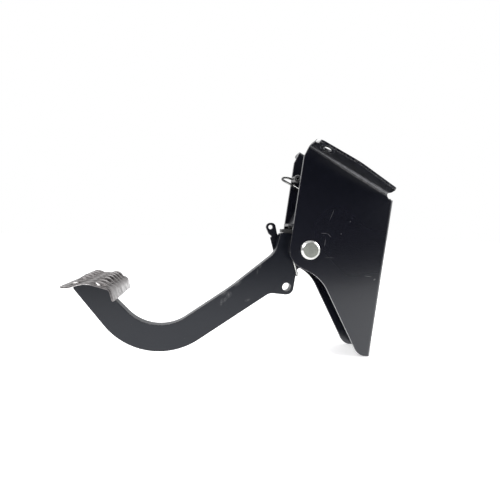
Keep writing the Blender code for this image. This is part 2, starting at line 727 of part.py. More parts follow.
def tab_outline():
    """Strap of the switch tab: eye, notched front edge and a foot on the arm."""
    eye = TAB_HOLE_RADIUS + TAB_EYE_WALL
    left = TAB_ROOT_X - TAB_ROOT_WIDTH / 2
    right = TAB_ROOT_X + TAB_ROOT_WIDTH / 2
    low = TAB_ROOT_Z - TAB_ROOT_HEIGHT / 2
    high = TAB_ROOT_Z + TAB_ROOT_HEIGHT / 2
    step = TAB_EYE_Z - eye - 2 * TAB_NOTCH
    return rounded([
        (TAB_EYE_X + eye, TAB_EYE_Z + eye, eye * 0.98),
        (right - TAB_ROOT_WIDTH * 0.92, TAB_EYE_Z - 1.6 * eye, TAB_WAIST_RADIUS),
        (right, high, TAB_ROOT_RADIUS),
        (right, low, TAB_ROOT_RADIUS),
        (left, low, TAB_ROOT_RADIUS),
        (TAB_EYE_X, step - 2 * TAB_NOTCH, TAB_NOTCH / 2),
        (TAB_EYE_X + TAB_NOTCH, step - TAB_NOTCH, TAB_NOTCH / 2),
        (TAB_EYE_X - TAB_NOTCH, step + TAB_NOTCH / 2, TAB_NOTCH / 2),
        (TAB_EYE_X - eye, TAB_EYE_Z, 0.0),
        (TAB_EYE_X - eye, TAB_EYE_Z + eye, eye * 0.98),
    ])


def build_switch_tab(collection, parent, mat):
    """Strap with an eye for the brake switch's spring, on the arm's far face."""
    outlines = [tab_outline(), circle((TAB_EYE_X, TAB_EYE_Z), TAB_HOLE_RADIUS)]
    middle = ARM_HALF + SEAT_GAP + TAB_THICKNESS / 2
    obj = plate("switch_tab", outlines, TAB_THICKNESS, middle, collection, parent, mat)
    round_edges(obj, EDGE_ROUND)
    return obj


# Foot pad

def pad_profile():
    """Underside of the pad in side view, from its front edge over the crown and down its lip."""
    crown_x = (PAD_FRONT + PAD_BACK) / 2
    lip = direction(-90.0 + LIP_SPLAY)
    corners = [
        (PAD_FRONT, PAD_FRONT_Z, 0.0),
        (PAD_FRONT + PAD_FRONT_FLAT, PAD_FRONT_Z, PAD_FRONT_RADIUS),
        (crown_x, PAD_CROWN_Z, PAD_CROWN_RADIUS),
        (PAD_BACK, PAD_BACK_Z, LIP_FOLD_RADIUS),
        (PAD_BACK + lip.x * LIP_HEIGHT, PAD_BACK_Z + lip.y * LIP_HEIGHT, 0.0),
    ]
    return rounded(corners, closed=False)


def pad_height_at(x):
    """Height of the pad's underside at x."""
    line = pad_profile()
    for (xa, za), (xb, zb) in zip(line, line[1:]):
        if xa <= x <= xb:
            return za + (zb - za) * (x - xa) / (xb - xa)
    return PAD_BACK_Z


def along_line(points, distance):
    """Place and upward normal at a distance along a line of points."""
    left = distance
    for a, b in zip(points, points[1:]):
        run = Vector(b) - Vector(a)
        if left <= run.length or b == points[-1]:
            place = Vector(a) + run.normalized() * left
            return place, Vector((-run.y, run.x)).normalized()
        left -= run.length
    return Vector(points[-1]), Vector((0.0, 1.0))


def line_length(points):
    """Length of a line of points."""
    return sum((Vector(b) - Vector(a)).length for a, b in zip(points, points[1:]))


def smooth_step(value):
    """0 below 0, 1 above 1, smooth between."""
    value = min(max(value, 0.0), 1.0)
    return value * value * (3 - 2 * value)


def ridge_height(along, across):
    """Height of the pressed ridges: rows across the pad, each with two humps along it."""
    row = round(across / RIDGE_PITCH)
    row = max(-(RIDGE_ROWS // 2), min(RIDGE_ROWS // 2, row))
    off = abs(across - row * RIDGE_PITCH) / (RIDGE_WIDTH / 2)
    if off >= 1:
        return 0.0
    second = RIDGE_FIRST + RIDGE_SPACING
    nearest = min(abs(along - RIDGE_FIRST), abs(along - second))
    height = RIDGE_HEIGHT * smooth_step((RIDGE_LENGTH / 2 - nearest) / RIDGE_RAMP)
    if RIDGE_FIRST < along < second:
        height = max(height, RIDGE_SADDLE)
    return height * 0.5 * (1 + math.cos(math.pi * off))


def pad_across(cell):
    """Place across the pad of a line of mesh cells counted from its middle."""
    ridged = RIDGE_CELLS * RIDGE_ROWS // 2
    if abs(cell) <= ridged:
        return cell * RIDGE_PITCH / RIDGE_CELLS
    edge = ridged * RIDGE_PITCH / RIDGE_CELLS
    beyond = (abs(cell) - ridged) / EDGE_CELLS
    return math.copysign(edge + (PAD_WIDTH / 2 - edge) * beyond, cell)


def build_pad(collection, parent, mat):
    """Pressed sheet pad: a grid laid along the profile, raised at the ridges."""
    profile = pad_profile()
    length = line_length(profile)
    cells = RIDGE_CELLS * RIDGE_ROWS + 2 * EDGE_CELLS
    bpy.ops.mesh.primitive_grid_add(x_subdivisions=PAD_CELLS, y_subdivisions=cells, size=1.0)
    obj = bpy.context.active_object
    obj.name = "foot_pad"
    obj.data.name = "foot_pad"
    for vert in obj.data.vertices:
        across = pad_across(round(vert.co.y * cells))
        edge = max(0.0, PAD_CORNER_RADIUS - (PAD_WIDTH / 2 - abs(across)))
        inset = PAD_CORNER_RADIUS - math.sqrt(max(0.0, PAD_CORNER_RADIUS ** 2 - edge ** 2))
        distance = inset + (vert.co.x + 0.5) * (length - 2 * inset)
        place, normal = along_line(profile, distance)
        place = place + normal * ridge_height(distance, across)
        vert.co = (place.x, across, place.y)
    for old in list(obj.users_collection):
        old.objects.unlink(obj)
    link(obj, collection, parent, mat)
    solid = obj.modifiers.new("sheet", "SOLIDIFY")
    solid.thickness = PAD_SHEET
    solid.offset = 1.0
    solid.use_even_offset = False
    return obj


# Return stop

def bridge_low():
    """Underside of the stop plate, above the block and the bumper."""
    block_top = BOSS_TOP + SEAT_GAP + BLOCK_THICKNESS
    return block_top + BUMPER_THICKNESS + 2 * SEAT_GAP


def build_bridge(collection, parent, mat):
    """Folded stop plate between the cheeks."""
    low = bridge_low()
    middle = low + SHEET / 2
    fold = BRIDGE_FRONT + BRIDGE_SHELF
    leg = direction(BRIDGE_RISE) * BRIDGE_LEG
    centre_line = rounded([
        (BRIDGE_FRONT, middle, 0.0),
        (fold, middle, BRIDGE_FOLD_RADIUS),
        (fold + leg.x, middle + leg.y, 0.0),
    ], closed=False)
    upper = []
    lower = []
    for index, point in enumerate(centre_line):
        before = Vector(centre_line[max(index - 1, 0)])
        after = Vector(centre_line[min(index + 1, len(centre_line) - 1)])
        along = (after - before).normalized()
        side = Vector((-along.y, along.x)) * SHEET / 2
        upper.append(tuple(Vector(point) + side))
        lower.append(tuple(Vector(point) - side))
    width = 2 * (CHEEK_INNER - SEAT_GAP)
    obj = plate("stop_bridge", [lower + upper[::-1]], width, 0.0, collection, parent, mat)
    round_edges(obj, EDGE_ROUND)
    return obj


def build_bumper(collection, parent, mat):
    """Rubber button under the stop plate."""
    low = BOSS_TOP + 2 * SEAT_GAP + BLOCK_THICKNESS
    mesh = bpy.data.meshes.new("stop_bumper")
    shape = bmesh.new()
    bmesh.ops.create_cone(shape, cap_ends=True, segments=28, radius2=BUMPER_RADIUS,
                          radius1=BUMPER_RADIUS - BUMPER_TAPER, depth=BUMPER_THICKNESS)
    shape.to_mesh(mesh)
    shape.free()
    obj = bpy.data.objects.new("stop_bumper", mesh)
    middle = BRIDGE_FRONT + SEAT_GAP + BUMPER_RADIUS
    obj.location = (middle, 0.0, low + BUMPER_THICKNESS / 2)
    return link(obj, collection, parent, mat)


# Springs and wires

def spring_points():
    """Wire centre line: hook on the arm, leg, coil round the hub, leg to the web."""
    tangent = direction(SPRING_START - 90.0)
    start = direction(SPRING_START) * SPRING_COIL_RADIUS
    tip = start - tangent * SPRING_LEG
    near_arm = -(ARM_HALF + SEAT_GAP + SPRING_WIRE_RADIUS)
    corner = Vector((tip.x, near_arm, tip.y))
    hook = corner + Vector((0.0, SPRING_HOOK, 0.0))
    first = Vector((start.x, near_arm, start.y))
    points = [hook] + soft_corner(hook, corner, first, SPRING_BEND_RADIUS)
    sweep = SPRING_START - SPRING_END + 360.0 * SPRING_TURNS
    count = round(COIL_POINTS * sweep / 360.0)
    for index in range(count + 1):
        done = index / count
        place = direction(SPRING_START - sweep * done) * SPRING_COIL_RADIUS
        points.append(Vector((place.x, near_arm - SPRING_PITCH * sweep / 360.0 * done, place.y)))
    last = points[-1]
    reach = SHEET + SEAT_GAP + SPRING_WIRE_RADIUS
    inner = (BACK_REACH - reach / math.cos(math.radians(BACK_LEAN)), 0.0)
    end = meet((last.x, last.z), SPRING_END - 90.0, inner, BACK_UP)
    knee = Vector((end[0], last.y, end[1]))
    foot = knee - Vector((direction(BACK_UP).x, 0.0, direction(BACK_UP).y)) * SPRING_FOOT
    points += soft_corner(last, knee, foot, SPRING_BEND_RADIUS)
    points.append(foot)
    return points


def build_spring(collection, parent, mat):
    """Torsion spring that holds the pedal up."""
    return wire("return_spring", spring_points(), SPRING_WIRE_RADIUS, collection, parent, mat)


def build_guide_stud(collection, parent, mat):
    """Hollow stud on the far cheek's inner face."""
    far = CHEEK_INNER - SEAT_GAP
    near = far - GUIDE_STUD_LENGTH
    edge = GUIDE_STUD_RADIUS * 0.2
    profile = [
        (0.0, far),
        (GUIDE_STUD_RADIUS, far),
        (GUIDE_STUD_RADIUS, near + edge),
        (GUIDE_STUD_RADIUS - edge, near),
        (GUIDE_STUD_SOCKET, near),
        (GUIDE_STUD_SOCKET, near + GUIDE_STUD_LENGTH / 2),
        (0.0, near + GUIDE_STUD_LENGTH / 2),
    ]
    obj = turned("guide_stud", profile, 24, collection, parent, mat)
    obj.location = (GUIDE_STUD_X, 0.0, GUIDE_STUD_Z)
    return obj


def guide_points():
    """Wire loop: from the stud forward, round its tip and back down to the cheek."""
    y = CHEEK_INNER - SEAT_GAP - GUIDE_STUD_LENGTH / 2
    cheek_y = CHEEK_INNER - SEAT_GAP - GUIDE_WIRE_RADIUS
    turn = GUIDE_LOOP_RADIUS
    tip = Vector((GUIDE_STUD_X - GUIDE_REACH + turn + GUIDE_WIRE_RADIUS, GUIDE_STUD_Z))
    start = Vector((GUIDE_STUD_X - GUIDE_STUD_RADIUS - SEAT_GAP, y, GUIDE_STUD_Z))
    points = [start, Vector((tip.x + 2 * turn, y, GUIDE_STUD_Z + GUIDE_RISE))]
    centre = (tip.x, GUIDE_STUD_Z + GUIDE_RISE - turn)
    points += [Vector((x, y, z)) for x, z in arc(centre, turn, 95.0, 240.0)]
    low = GUIDE_STUD_Z - GUIDE_FALL
    points.append(Vector((tip.x + 5 * turn, y, (points[-1].z + low) / 2)))
    points.append(Vector((GUIDE_STUD_X + GUIDE_END, cheek_y, low)))
    return points


def build_guide_loop(collection, parent, mat):
    """Bright wire loop that guides the switch lead."""
    return wire("guide_loop", guide_points(), GUIDE_WIRE_RADIUS, collection, parent, mat)


def shade(obj):
    """Smooth shading with sharp edges kept."""
    if obj.type != "MESH":
        return
    obj.data.shade_smooth()
    obj.data.set_sharp_from_angle(angle=math.radians(35.0))


def stand_on_origin(root, objects):
    """Move the whole pedal so that its origin is on the floor under the middle of its box."""
    bpy.context.view_layer.update()
    depsgraph = bpy.context.evaluated_depsgraph_get()
    low = Vector((math.inf, math.inf, math.inf))
    high = -low
    for obj in objects:
        solid = obj.evaluated_get(depsgraph)
        mesh = solid.to_mesh()
        for vert in mesh.vertices:
            place = solid.matrix_world @ vert.co
            low = Vector(map(min, low, place))
            high = Vector(map(max, high, place))
        solid.to_mesh_clear()
    root.location -= Vector(((low.x + high.x) / 2, (low.y + high.y) / 2, low.z))
    bpy.context.view_layer.update()


def build_pedal():
    """Build every piece of the pedal."""
    clear_scene()
    pieces = new_collection("rear_brake_pedal")
    cutters = new_collection("cutters")
    root = bpy.data.objects.new("pedal_root", None)
    pieces.objects.link(root)
    root.location = (0.0, 0.0, PIVOT_HEIGHT)
    hinge = bpy.data.objects.new("pedal_hinge", None)
    link(hinge, pieces, root)

    black = material("bracket_black", (0.030, 0.032, 0.040), 0.28, 0.3)
    grey = material("arm_satin_black", (0.055, 0.055, 0.062), 0.42, 0.3)
    zinc = material("zinc_plate", (0.52, 0.53, 0.49), 0.34, 0.9)
    bright = material("bright_wire", (0.74, 0.74, 0.72), 0.22, 1.0)
    steel = material("bare_pad_steel", (0.36, 0.35, 0.35), 0.38, 0.9)
    rubber = material("bumper_rubber", (0.02, 0.02, 0.022), 0.8, 0.0)
    nylon = material("bush_nylon", (0.70, 0.68, 0.62), 0.5, 0.0)

    made = [
        build_bracket(pieces, cutters, root, black),
        build_bridge(pieces, root, black),
        build_bumper(pieces, root, rubber),
        build_guide_stud(pieces, root, zinc),
        build_guide_loop(pieces, root, bright),
        build_pin(pieces, root, zinc),
        build_washer(pieces, root, zinc),
        build_clip(pieces, root, bright),
        build_hub(pieces, hinge, grey),
        build_bush("near_bush", -1, pieces, hinge, nylon),
        build_bush("far_bush", 1, pieces, hinge, nylon),
        build_arm(pieces, hinge, grey),
        build_stop_block(pieces, hinge, grey),
        build_switch_tab(pieces, hinge, black),
        build_pad(pieces, hinge, steel),
        build_spring(pieces, hinge, bright),
    ]
    for obj in made:
        shade(obj)
    stand_on_origin(root, made)


build_pedal()
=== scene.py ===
"""Rear brake pedal of a motorbike: a folded sheet bracket with a plate arm on a pivot pin.

Each piece is worked out from its own sizes, in metres from the pivot's axis: X runs from the
foot pad to the bracket, Y away from the pin's head, Z up. The photograph's studio comes last.
"""

import json
import math

import bpy
import numpy as np
from mathutils import Matrix
from mathutils.geometry import delaunay_2d_cdt


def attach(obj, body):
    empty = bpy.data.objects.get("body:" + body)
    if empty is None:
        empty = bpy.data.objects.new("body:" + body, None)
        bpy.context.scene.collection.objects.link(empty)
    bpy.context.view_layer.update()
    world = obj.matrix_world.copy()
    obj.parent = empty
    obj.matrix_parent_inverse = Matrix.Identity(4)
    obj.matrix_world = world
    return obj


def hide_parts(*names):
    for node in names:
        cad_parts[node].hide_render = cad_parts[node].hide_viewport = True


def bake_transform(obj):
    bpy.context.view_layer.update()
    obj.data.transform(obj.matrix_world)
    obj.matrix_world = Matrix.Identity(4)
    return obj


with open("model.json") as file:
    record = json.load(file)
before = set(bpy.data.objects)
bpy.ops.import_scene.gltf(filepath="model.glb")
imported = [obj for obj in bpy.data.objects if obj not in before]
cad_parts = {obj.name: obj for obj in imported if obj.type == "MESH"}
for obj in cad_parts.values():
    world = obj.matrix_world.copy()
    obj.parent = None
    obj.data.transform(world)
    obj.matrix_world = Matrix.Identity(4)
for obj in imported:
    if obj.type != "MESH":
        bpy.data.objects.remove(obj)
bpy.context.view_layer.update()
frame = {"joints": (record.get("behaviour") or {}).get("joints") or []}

pivot = np.array(frame["joints"][0]["pos_m"])

# Bracket
# One blank of steel sheet, cut and then folded into a channel: two cheeks, a web behind them
# and a flange turned out along the top of each cheek, with a round relief where two folds meet.
# It was painted gloss black after folding, and has picked up dust and a few scratches.
# A painted highlight lies in the hollow of each flange's fold, and a painted glint on the near
# flange's front corner.

PIVOT_HEIGHT = 0.1000
SHEET = 0.0025
CHEEK_OUTER = 0.0150
CHEEK_MIDDLE = CHEEK_OUTER - SHEET / 2
CHEEK_INNER = CHEEK_OUTER - SHEET
FOLD_RADIUS = 0.0015 + SHEET / 2
NOSE_RADIUS = 0.0183
FRONT_LEAN = 7.45
BACK_LEAN = 6.94
BACK_REACH = 0.0733
TOP_FALL = 29.55
TOP_HEIGHT = 0.0942
CHIN_FALL = 26.1
SHIN_LEAN = 26.9
SHIN_RADIUS = 0.038
FOOT_LENGTH = 0.0118
HEEL_RADIUS = 0.011
CHAMFER_DROP = 0.0095
CHAMFER_BACK = 0.0038
CHAMFER_RADIUS = 0.002
FLANGE_DEPTH = 0.0192
FLANGE_DEPTH_FRONT = 0.0166
FLANGE_DEPTH_BACK = 0.0136
FLANGE_WIDEST_AT = 0.042
FLANGE_STOP = 0.0078
FLANGE_SLANT = 0.0030
RELIEF_RADIUS = 0.0048
RELIEF_BACK = 0.0038
RELIEF_INNER = 0.0095
FLANGE_HOLE_RADIUS = 0.0038
FLANGE_HOLE_ALONG = 0.0130
FLANGE_HOLE_OUT = 0.0110
ROD_HOLE = np.array([-0.0172, -0.0371])
ROD_WINDOW_RADIUS = 0.0100
CYLINDER_HOLE_RADIUS = 0.0042
CYLINDER_HOLE_SPACING = 0.040
PIN_RADIUS = 0.006
SEAT_GAP = 0.0003
FLANGE_FRONT_RADIUS = 0.007
FLANGE_EDGE_RADIUS = 0.060
FLANGE_BACK_RADIUS = 0.0025
SHEET_ROUNDING = 0.00030
HOLD = 0.00012
SHEET_RIM = SHEET_ROUNDING + HOLD
WALL_HOLD = 0.7
FOLD_ROWS = 9
RELIEF_STEPS = 24
JOINING_GRID = 2e6
BOLT_PRINT_INNER = 0.0058
BOLT_PRINT_OUTER = 0.0067
# Place and size of a painted highlight on the near flange's front corner.
GLINT_BACK = 0.0012
GLINT_OUT = 0.0142
GLINT_SIZE = 0.0032
# Length from the flanges' front over which the painted fold highlight grows to full.
FOLD_HIGHLIGHT_FADES_OVER = 0.040
BRACKET_SCRATCHES = (
    ((0.0199, 0.0326), 68, 0.0120, 0.0004), ((0.0374, 0.0267), 40, 0.0012, 0.0009),
    ((0.0292, 0.0153), 70, 0.0014, 0.0009), ((0.0131, 0.0156), 0, 0.0070, 0.0005),
    ((0.0180, 0.0138), -46, 0.0056, 0.0005), ((0.0143, 0.0072), 84, 0.0080, 0.0006),
    ((0.0560, -0.0240), -7, 0.0085, 0.0005), ((0.0622, -0.0269), 30, 0.0026, 0.0016),
    ((0.0188, -0.0070), 0, 0.0110, 0.0003))
DUST_GREY = (0.30, 0.30, 0.29)
# Light grey of the painted highlight in the hollow of the flanges' folds.
FOLD_PAINTED_HIGHLIGHT = (0.27, 0.27, 0.275)
SCRATCH_GREY = (0.28, 0.28, 0.28)
CHIPPED_EDGE = (0.16, 0.155, 0.15)
# Near white of the painted highlight on a flange's corner.
PAINTED_GLINT_WHITE = (0.82, 0.82, 0.81)


def heading(angle):
    """Unit vector at an angle in degrees: its cosine and its sine."""
    return np.array([math.cos(math.radians(angle)), math.sin(math.radians(angle))])


def directions(angles):
    """Unit vectors at angles in radians, one in each row: their cosines and sines."""
    return np.stack([np.cos(angles), np.sin(angles)], axis=1)


def crossing(point_a, angle_a, point_b, angle_b):
    """Point at which two lines cross: a + u t.

    t is the cross product of b - a and v, over that of u and v.
    """
    u, v = heading(angle_a), heading(angle_b)
    gap = np.subtract(point_b, point_a)
    return point_a + u * (gap[0] * v[1] - gap[1] * v[0]) / (u[0] * v[1] - u[1] * v[0])


def rounded_line(corners, closed=True, hold=0.0, step=5.0):
    """Line through corners (x, z, radius), each turned into the arc that touches both its sides.

    A point of the arc is centre + radius (cos a, sin a). Hold adds a point that far before and
    after each arc, which keeps the flat beside it flat under smooth shading.
    """
    places = np.array([corner[:2] for corner in corners], float)
    runs = []
    for index, corner in enumerate(corners):
        here, radius = places[index], corner[2]
        if radius == 0 or (not closed and index in (0, len(corners) - 1)):
            runs.append(here[None])
            continue
        back = places[index - 1] - here
        ahead = places[(index + 1) % len(corners)] - here
        back, ahead = back / np.hypot(*back), ahead / np.hypot(*ahead)
        half = math.acos(float(np.clip(back @ ahead, -1, 1))) / 2
        centre = here + (back + ahead) / np.hypot(*(back + ahead)) * radius / math.sin(half)
        first = here + back * radius / math.tan(half) - centre
        last = here + ahead * radius / math.tan(half) - centre
        start = math.degrees(math.atan2(first[1], first[0]))
        turn = (math.degrees(math.atan2(last[1], last[0])) - start + 180) % 360 - 180
        count = max(2, math.ceil(abs(turn) / step))
        angles = np.radians(start + turn * np.linspace(0, 1, count + 1))
        arc = centre + radius * directions(angles)
        if hold:
            arc = np.vstack([arc[:1] + back * hold, arc, arc[-1:] + ahead * hold])
        runs.append(arc)
    return np.vstack(runs)


def ring_line(centre, radius, step=6.0):
    """Closed circle: centre + radius (cos a, sin a)."""
    angles = np.radians(np.arange(0.0, 360.0, step))
    return np.array(centre) + radius * directions(angles)


def wound_left(outline):
    """The same closed outline, turned so that its inside lies on its left: its area is positive."""
    x, z = outline.T
    area = (x * np.roll(z, -1) - np.roll(x, -1) * z).sum()
    return outline if area > 0 else outline[::-1]


def drawn_in(outline, depth):
    """Closed outline with each side moved to its left by its depth.

    A point moves by the vector whose parts along the two sides' normals are their depths.
    """
    depth = np.broadcast_to(depth, len(outline)).astype(float)[:, None]
    sides = np.roll(outline, -1, axis=0) - outline
    sides /= np.linalg.norm(sides, axis=1, keepdims=True)
    after = np.stack([-sides[:, 1], sides[:, 0]], axis=1)
    before = np.roll(after, 1, axis=0)
    depth_before = np.roll(depth, 1, axis=0)
    cosine = (before * after).sum(axis=1, keepdims=True)
    sine = 1 - cosine ** 2
    bent = (depth * (after - cosine * before) + depth_before * (before - cosine * after))
    straight = (before + after) * (depth + depth_before) / 2 / (1 + cosine)
    return outline + np.where(sine > 1e-3, bent / np.maximum(sine, 1e-9), straight)


def filled(outer, holes=()):
    """Points and triangles of the flat between an outline and its holes, by Delaunay's rule."""
    loops = [wound_left(outer), *holes]
    sizes = [len(loop) for loop in loops]
    starts = np.cumsum([0] + sizes[:-1])
    edges = [(int(start + i), int(start + (i + 1) % size))
             for start, size in zip(starts, sizes) for i in range(size)]
    points = np.vstack(loops)
    _, _, faces, *_ = delaunay_2d_cdt(points.tolist(), edges, [], 1, 1e-9)
    owner = np.repeat(np.arange(len(loops)), sizes)
    faces = np.array([face[:3] for face in faces])
    owners = owner[faces]
    in_hole = (owners > 0).all(axis=1) & (owners == owners[:, :1]).all(axis=1)
    return points, faces[~in_hole]


def band(rows):
    """Triangles that join rows of equal length into one surface; rows holds vertex numbers."""
    a, b = rows[:-1, :-1].ravel(), rows[:-1, 1:].ravel()
    c, d = rows[1:, 1:].ravel(), rows[1:, :-1].ravel()
    return np.vstack([np.stack([a, b, c], axis=1), np.stack([a, c, d], axis=1)])


def joined(parts):
    """One surface from parts (points, normals, faces).

    Points that fall on the same step of a fine grid are made one.
    """
    points = np.vstack([part[0] for part in parts])
    normals = np.vstack([part[1] for part in parts])
    starts = np.cumsum([0] + [len(part[0]) for part in parts[:-1]])
    faces = np.vstack([part[2] + start for part, start in zip(parts, starts)])
    _, first, names = np.unique(np.round(points * JOINING_GRID).astype(np.int64), axis=0,
                                return_index=True, return_inverse=True)
    return points[first], normals[first], names.ravel()[faces]


def facing(points, normals, faces):
    """Triangles turned so that each one's cross product agrees with its points' normals."""
    a, b, c = (points[faces[:, i]] for i in range(3))
    across = np.cross(b - a, c - a)
    wrong = (across * normals[faces].sum(axis=1)).sum(axis=1) < 0
    faces = faces.copy()
    faces[wrong] = faces[wrong][:, ::-1]
    return faces


def sheet_solid(points, normals, faces, thickness, rounding, wall_mark=1.0):
    """Solid of a sheet from its middle surface.

    The two faces lie at middle + and - normal thickness / 2. At a free edge a short flat, a quarter
    arc of the rounding's radius, the side and the same again close it, each carried outwards along
    the cross product of the edge and the normal. Returns points, faces and a mark, 1 on the arcs
    and the wall's mark between them.
    """
    faces = facing(points, normals, faces)
    count = len(points)
    edges = np.vstack([faces[:, [0, 1]], faces[:, [1, 2]], faces[:, [2, 0]]])
    free = ~np.isin(edges[:, 0] * count + edges[:, 1], edges[:, 1] * count + edges[:, 0])
    start, end = edges[free].T
    along = points[end] - points[start]
    out = np.cross(along, normals[start] + normals[end])
    out /= np.linalg.norm(out, axis=1, keepdims=True)
    before, after = np.zeros((2, count, 3))
    after[start], before[end] = out, out
    rim = np.unique(start)
    bend = 1 + (before[rim] * after[rim]).sum(axis=1, keepdims=True)
    outward = (before[rim] + after[rim]) / np.maximum(bend, 0.2)
    quarter = np.radians(np.linspace(0, 90, 5))
    reach = HOLD + rounding * np.sin(quarter)
    height = thickness / 2 - rounding * (1 - np.cos(quarter))
    wall = WALL_HOLD * height[-1]
    reach = np.concatenate([[HOLD], reach[1:], reach[[-1, -1]], reach[:0:-1], [HOLD]])
    height = np.concatenate([[thickness / 2], height[1:], [wall, -wall], -height[:0:-1],
                             [-thickness / 2]])
    rings = [points[rim] + outward * r + normals[rim] * h for r, h in zip(reach, height)]
    solid = np.vstack([points + normals * thickness / 2, points - normals * thickness / 2, *rings])
    place = np.zeros(count, int)
    place[rim] = np.arange(len(rim))
    levels = [np.arange(count)]
    levels += [2 * count + index * len(rim) + place for index in range(len(rings))]
    levels += [count + np.arange(count)]
    sides = np.vstack([np.stack([upper[end], upper[start], lower[start], lower[end]], axis=1)
                       for upper, lower in zip(levels, levels[1:])])
    marks = np.array([0, 1, 1, 1, 1, wall_mark, wall_mark, 1, 1, 1, 1, 0], float)
    mark = np.concatenate([np.zeros(2 * count), np.repeat(marks, len(rim))])
    return solid, [faces, faces[:, ::-1] + count, sides], mark


def add_piece(name, node, body, slot, finish, points, faces, mark=None):
    """Put a closed surface, given from the pivot, in the scene as the piece that replaces a node.

    Its faces are turned round where its volume, the sum of a . (b x c) / 6, comes out negative.
    Its mark tells the finish where its edges are.
    """
    halves = [part[:, [0, 1, 2]] for part in faces]
    halves += [part[:, [0, 2, 3]] for part in faces if part.shape[1] == 4]
    a, b, c = (points[np.vstack(halves)[:, i]] for i in range(3))
    if (a * np.cross(b, c)).sum() < 0:
        faces = [part[:, ::-1] for part in faces]
    mesh = bpy.data.meshes.new(name)
    mesh.from_pydata((points + pivot).tolist(), [], sum((part.tolist() for part in faces), []))
    mesh.shade_smooth()
    edge = mesh.attributes.new("edge", "FLOAT", "POINT")
    edge.data.foreach_set("value", np.zeros(len(points)) if mark is None else mark)
    mesh.materials.append(finish)
    piece = bpy.data.objects.new(name, mesh)
    bpy.context.scene.collection.objects.link(piece)
    if body:
        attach(piece, body)
    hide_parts(node)
    return piece


def fold_rows(line, out_normal, turn_side, first, last):
    """Rows of a fold's middle surface about an axis beside a cheek.

    At angle a the row lies out_normal R sin a and turn_side R (1 - cos a) from the cheek's line;
    first and last give where each row starts and ends along the line.
    """
    angles = np.radians(np.linspace(0, 90, len(first)))
    lift = FOLD_RADIUS * np.sin(angles)
    shift = -CHEEK_MIDDLE + turn_side * FOLD_RADIUS * (1 - np.cos(angles))
    origin, along = line
    ends = np.stack([first, last], axis=1)
    flat = origin + ends[..., None] * along + (lift[:, None] * out_normal)[:, None]
    points = np.stack([flat[..., 0], np.repeat(shift[:, None], 2, axis=1), flat[..., 1]], axis=-1)
    tipped = turn_side * np.sin(angles)[:, None] * out_normal
    normals = np.stack([tipped[:, 0], -np.cos(angles), tipped[:, 1]], axis=1)
    normals = np.repeat(normals[:, None], 2, axis=1)
    rows = np.arange(2 * len(first)).reshape(-1, 2)
    return points.reshape(-1, 3), normals.reshape(-1, 3), band(rows)


def upright(points, faces, across, normal):
    """Flat part from its X and Z and its place or places across the pedal, with one normal."""
    placed = np.stack([points[:, 0], np.full(len(points), across), points[:, 1]], axis=1)
    return placed, np.tile(normal, (len(points), 1)), faces


foot_height = (FOLD_RADIUS + SHEET / 2) * math.sin(math.radians(BACK_LEAN)) - PIVOT_HEIGHT
BACK_UP = 90 - BACK_LEAN
web_up, web_out = heading(BACK_UP), heading(-BACK_LEAN)
flange_up, flange_along = heading(90 - TOP_FALL), heading(-TOP_FALL)
front_touch = heading(180 - FRONT_LEAN) * NOSE_RADIUS
chin_touch = heading(270 - CHIN_FALL) * NOSE_RADIUS
flange_front = crossing((0, TOP_HEIGHT), -TOP_FALL, front_touch, 90 - FRONT_LEAN)
flange_front = flange_front + flange_along * CHAMFER_BACK
fold_corner = crossing((BACK_REACH, 0), BACK_UP, (0, TOP_HEIGHT), -TOP_FALL)
web_base = crossing((BACK_REACH, 0), BACK_UP, (0, foot_height), 0)
foot_front = web_base[0] - FOOT_LENGTH
web_line = crossing(web_base - web_out * (FOLD_RADIUS + SHEET / 2), BACK_UP, (0, foot_height), 0)
flange_line = flange_front - flange_up * (FOLD_RADIUS - SHEET / 2)
relief = fold_corner - flange_along * RELIEF_BACK + flange_up * SHEET / 2

chamfer_end = crossing(flange_front - (CHAMFER_BACK, CHAMFER_DROP), 0,
                       front_touch, 90 - FRONT_LEAN)
nose = crossing(front_touch, 90 - FRONT_LEAN, chin_touch, -CHIN_FALL)
shin = crossing(chin_touch, -CHIN_FALL, (foot_front, foot_height), 90 + SHIN_LEAN)
cheek_free = rounded_line([
    (*flange_front, 0), (*chamfer_end, CHAMFER_RADIUS), (*nose, NOSE_RADIUS),
    (*shin, SHIN_RADIUS), (foot_front, foot_height, HEEL_RADIUS), (*web_base, 0),
], closed=False, step=3.0)[1:-1]


def relief_meets(origin, along):
    """Distance along each line at which it enters the relief's circle, widened by the rim.

    It is -p - the root of p squared - g squared + r squared, where g is the gap from the circle's
    centre to the line's origin and p the gap's part along the line.
    """
    gap = origin - relief
    part = gap @ along
    root = np.sqrt(part ** 2 - (gap ** 2).sum(axis=-1) + (RELIEF_RADIUS + SHEET_RIM) ** 2)
    return -part - root


rise = FOLD_RADIUS * np.sin(np.radians(np.linspace(0, 90, FOLD_ROWS)))
web_tops = relief_meets(web_line + rise[:, None] * web_out, web_up)
flange_backs = relief_meets(flange_line + rise[:, None] * flange_up, flange_along)
relief_start = web_line + web_up * web_tops[0] - relief
relief_end = flange_line + flange_along * flange_backs[0] - relief
relief_ends = [math.atan2(end[1], end[0]) % (2 * math.pi) for end in (relief_start, relief_end)]
relief_angles = np.linspace(*relief_ends, RELIEF_STEPS)
relief_arc = relief + (RELIEF_RADIUS + SHEET_RIM) * directions(relief_angles)
cheek_line = np.vstack([web_line[None], relief_arc, flange_line[None], cheek_free])
cheek_depth = np.full(len(cheek_line), SHEET_RIM)
cheek_depth[:len(relief_arc) + 1] = 0
cheek_line = drawn_in(cheek_line, cheek_depth)
web_start = np.full(FOLD_ROWS, (cheek_line[0] - web_line) @ web_up)
flange_start = np.full(FOLD_ROWS, (cheek_line[len(relief_arc) + 1] - flange_line) @ flange_along)
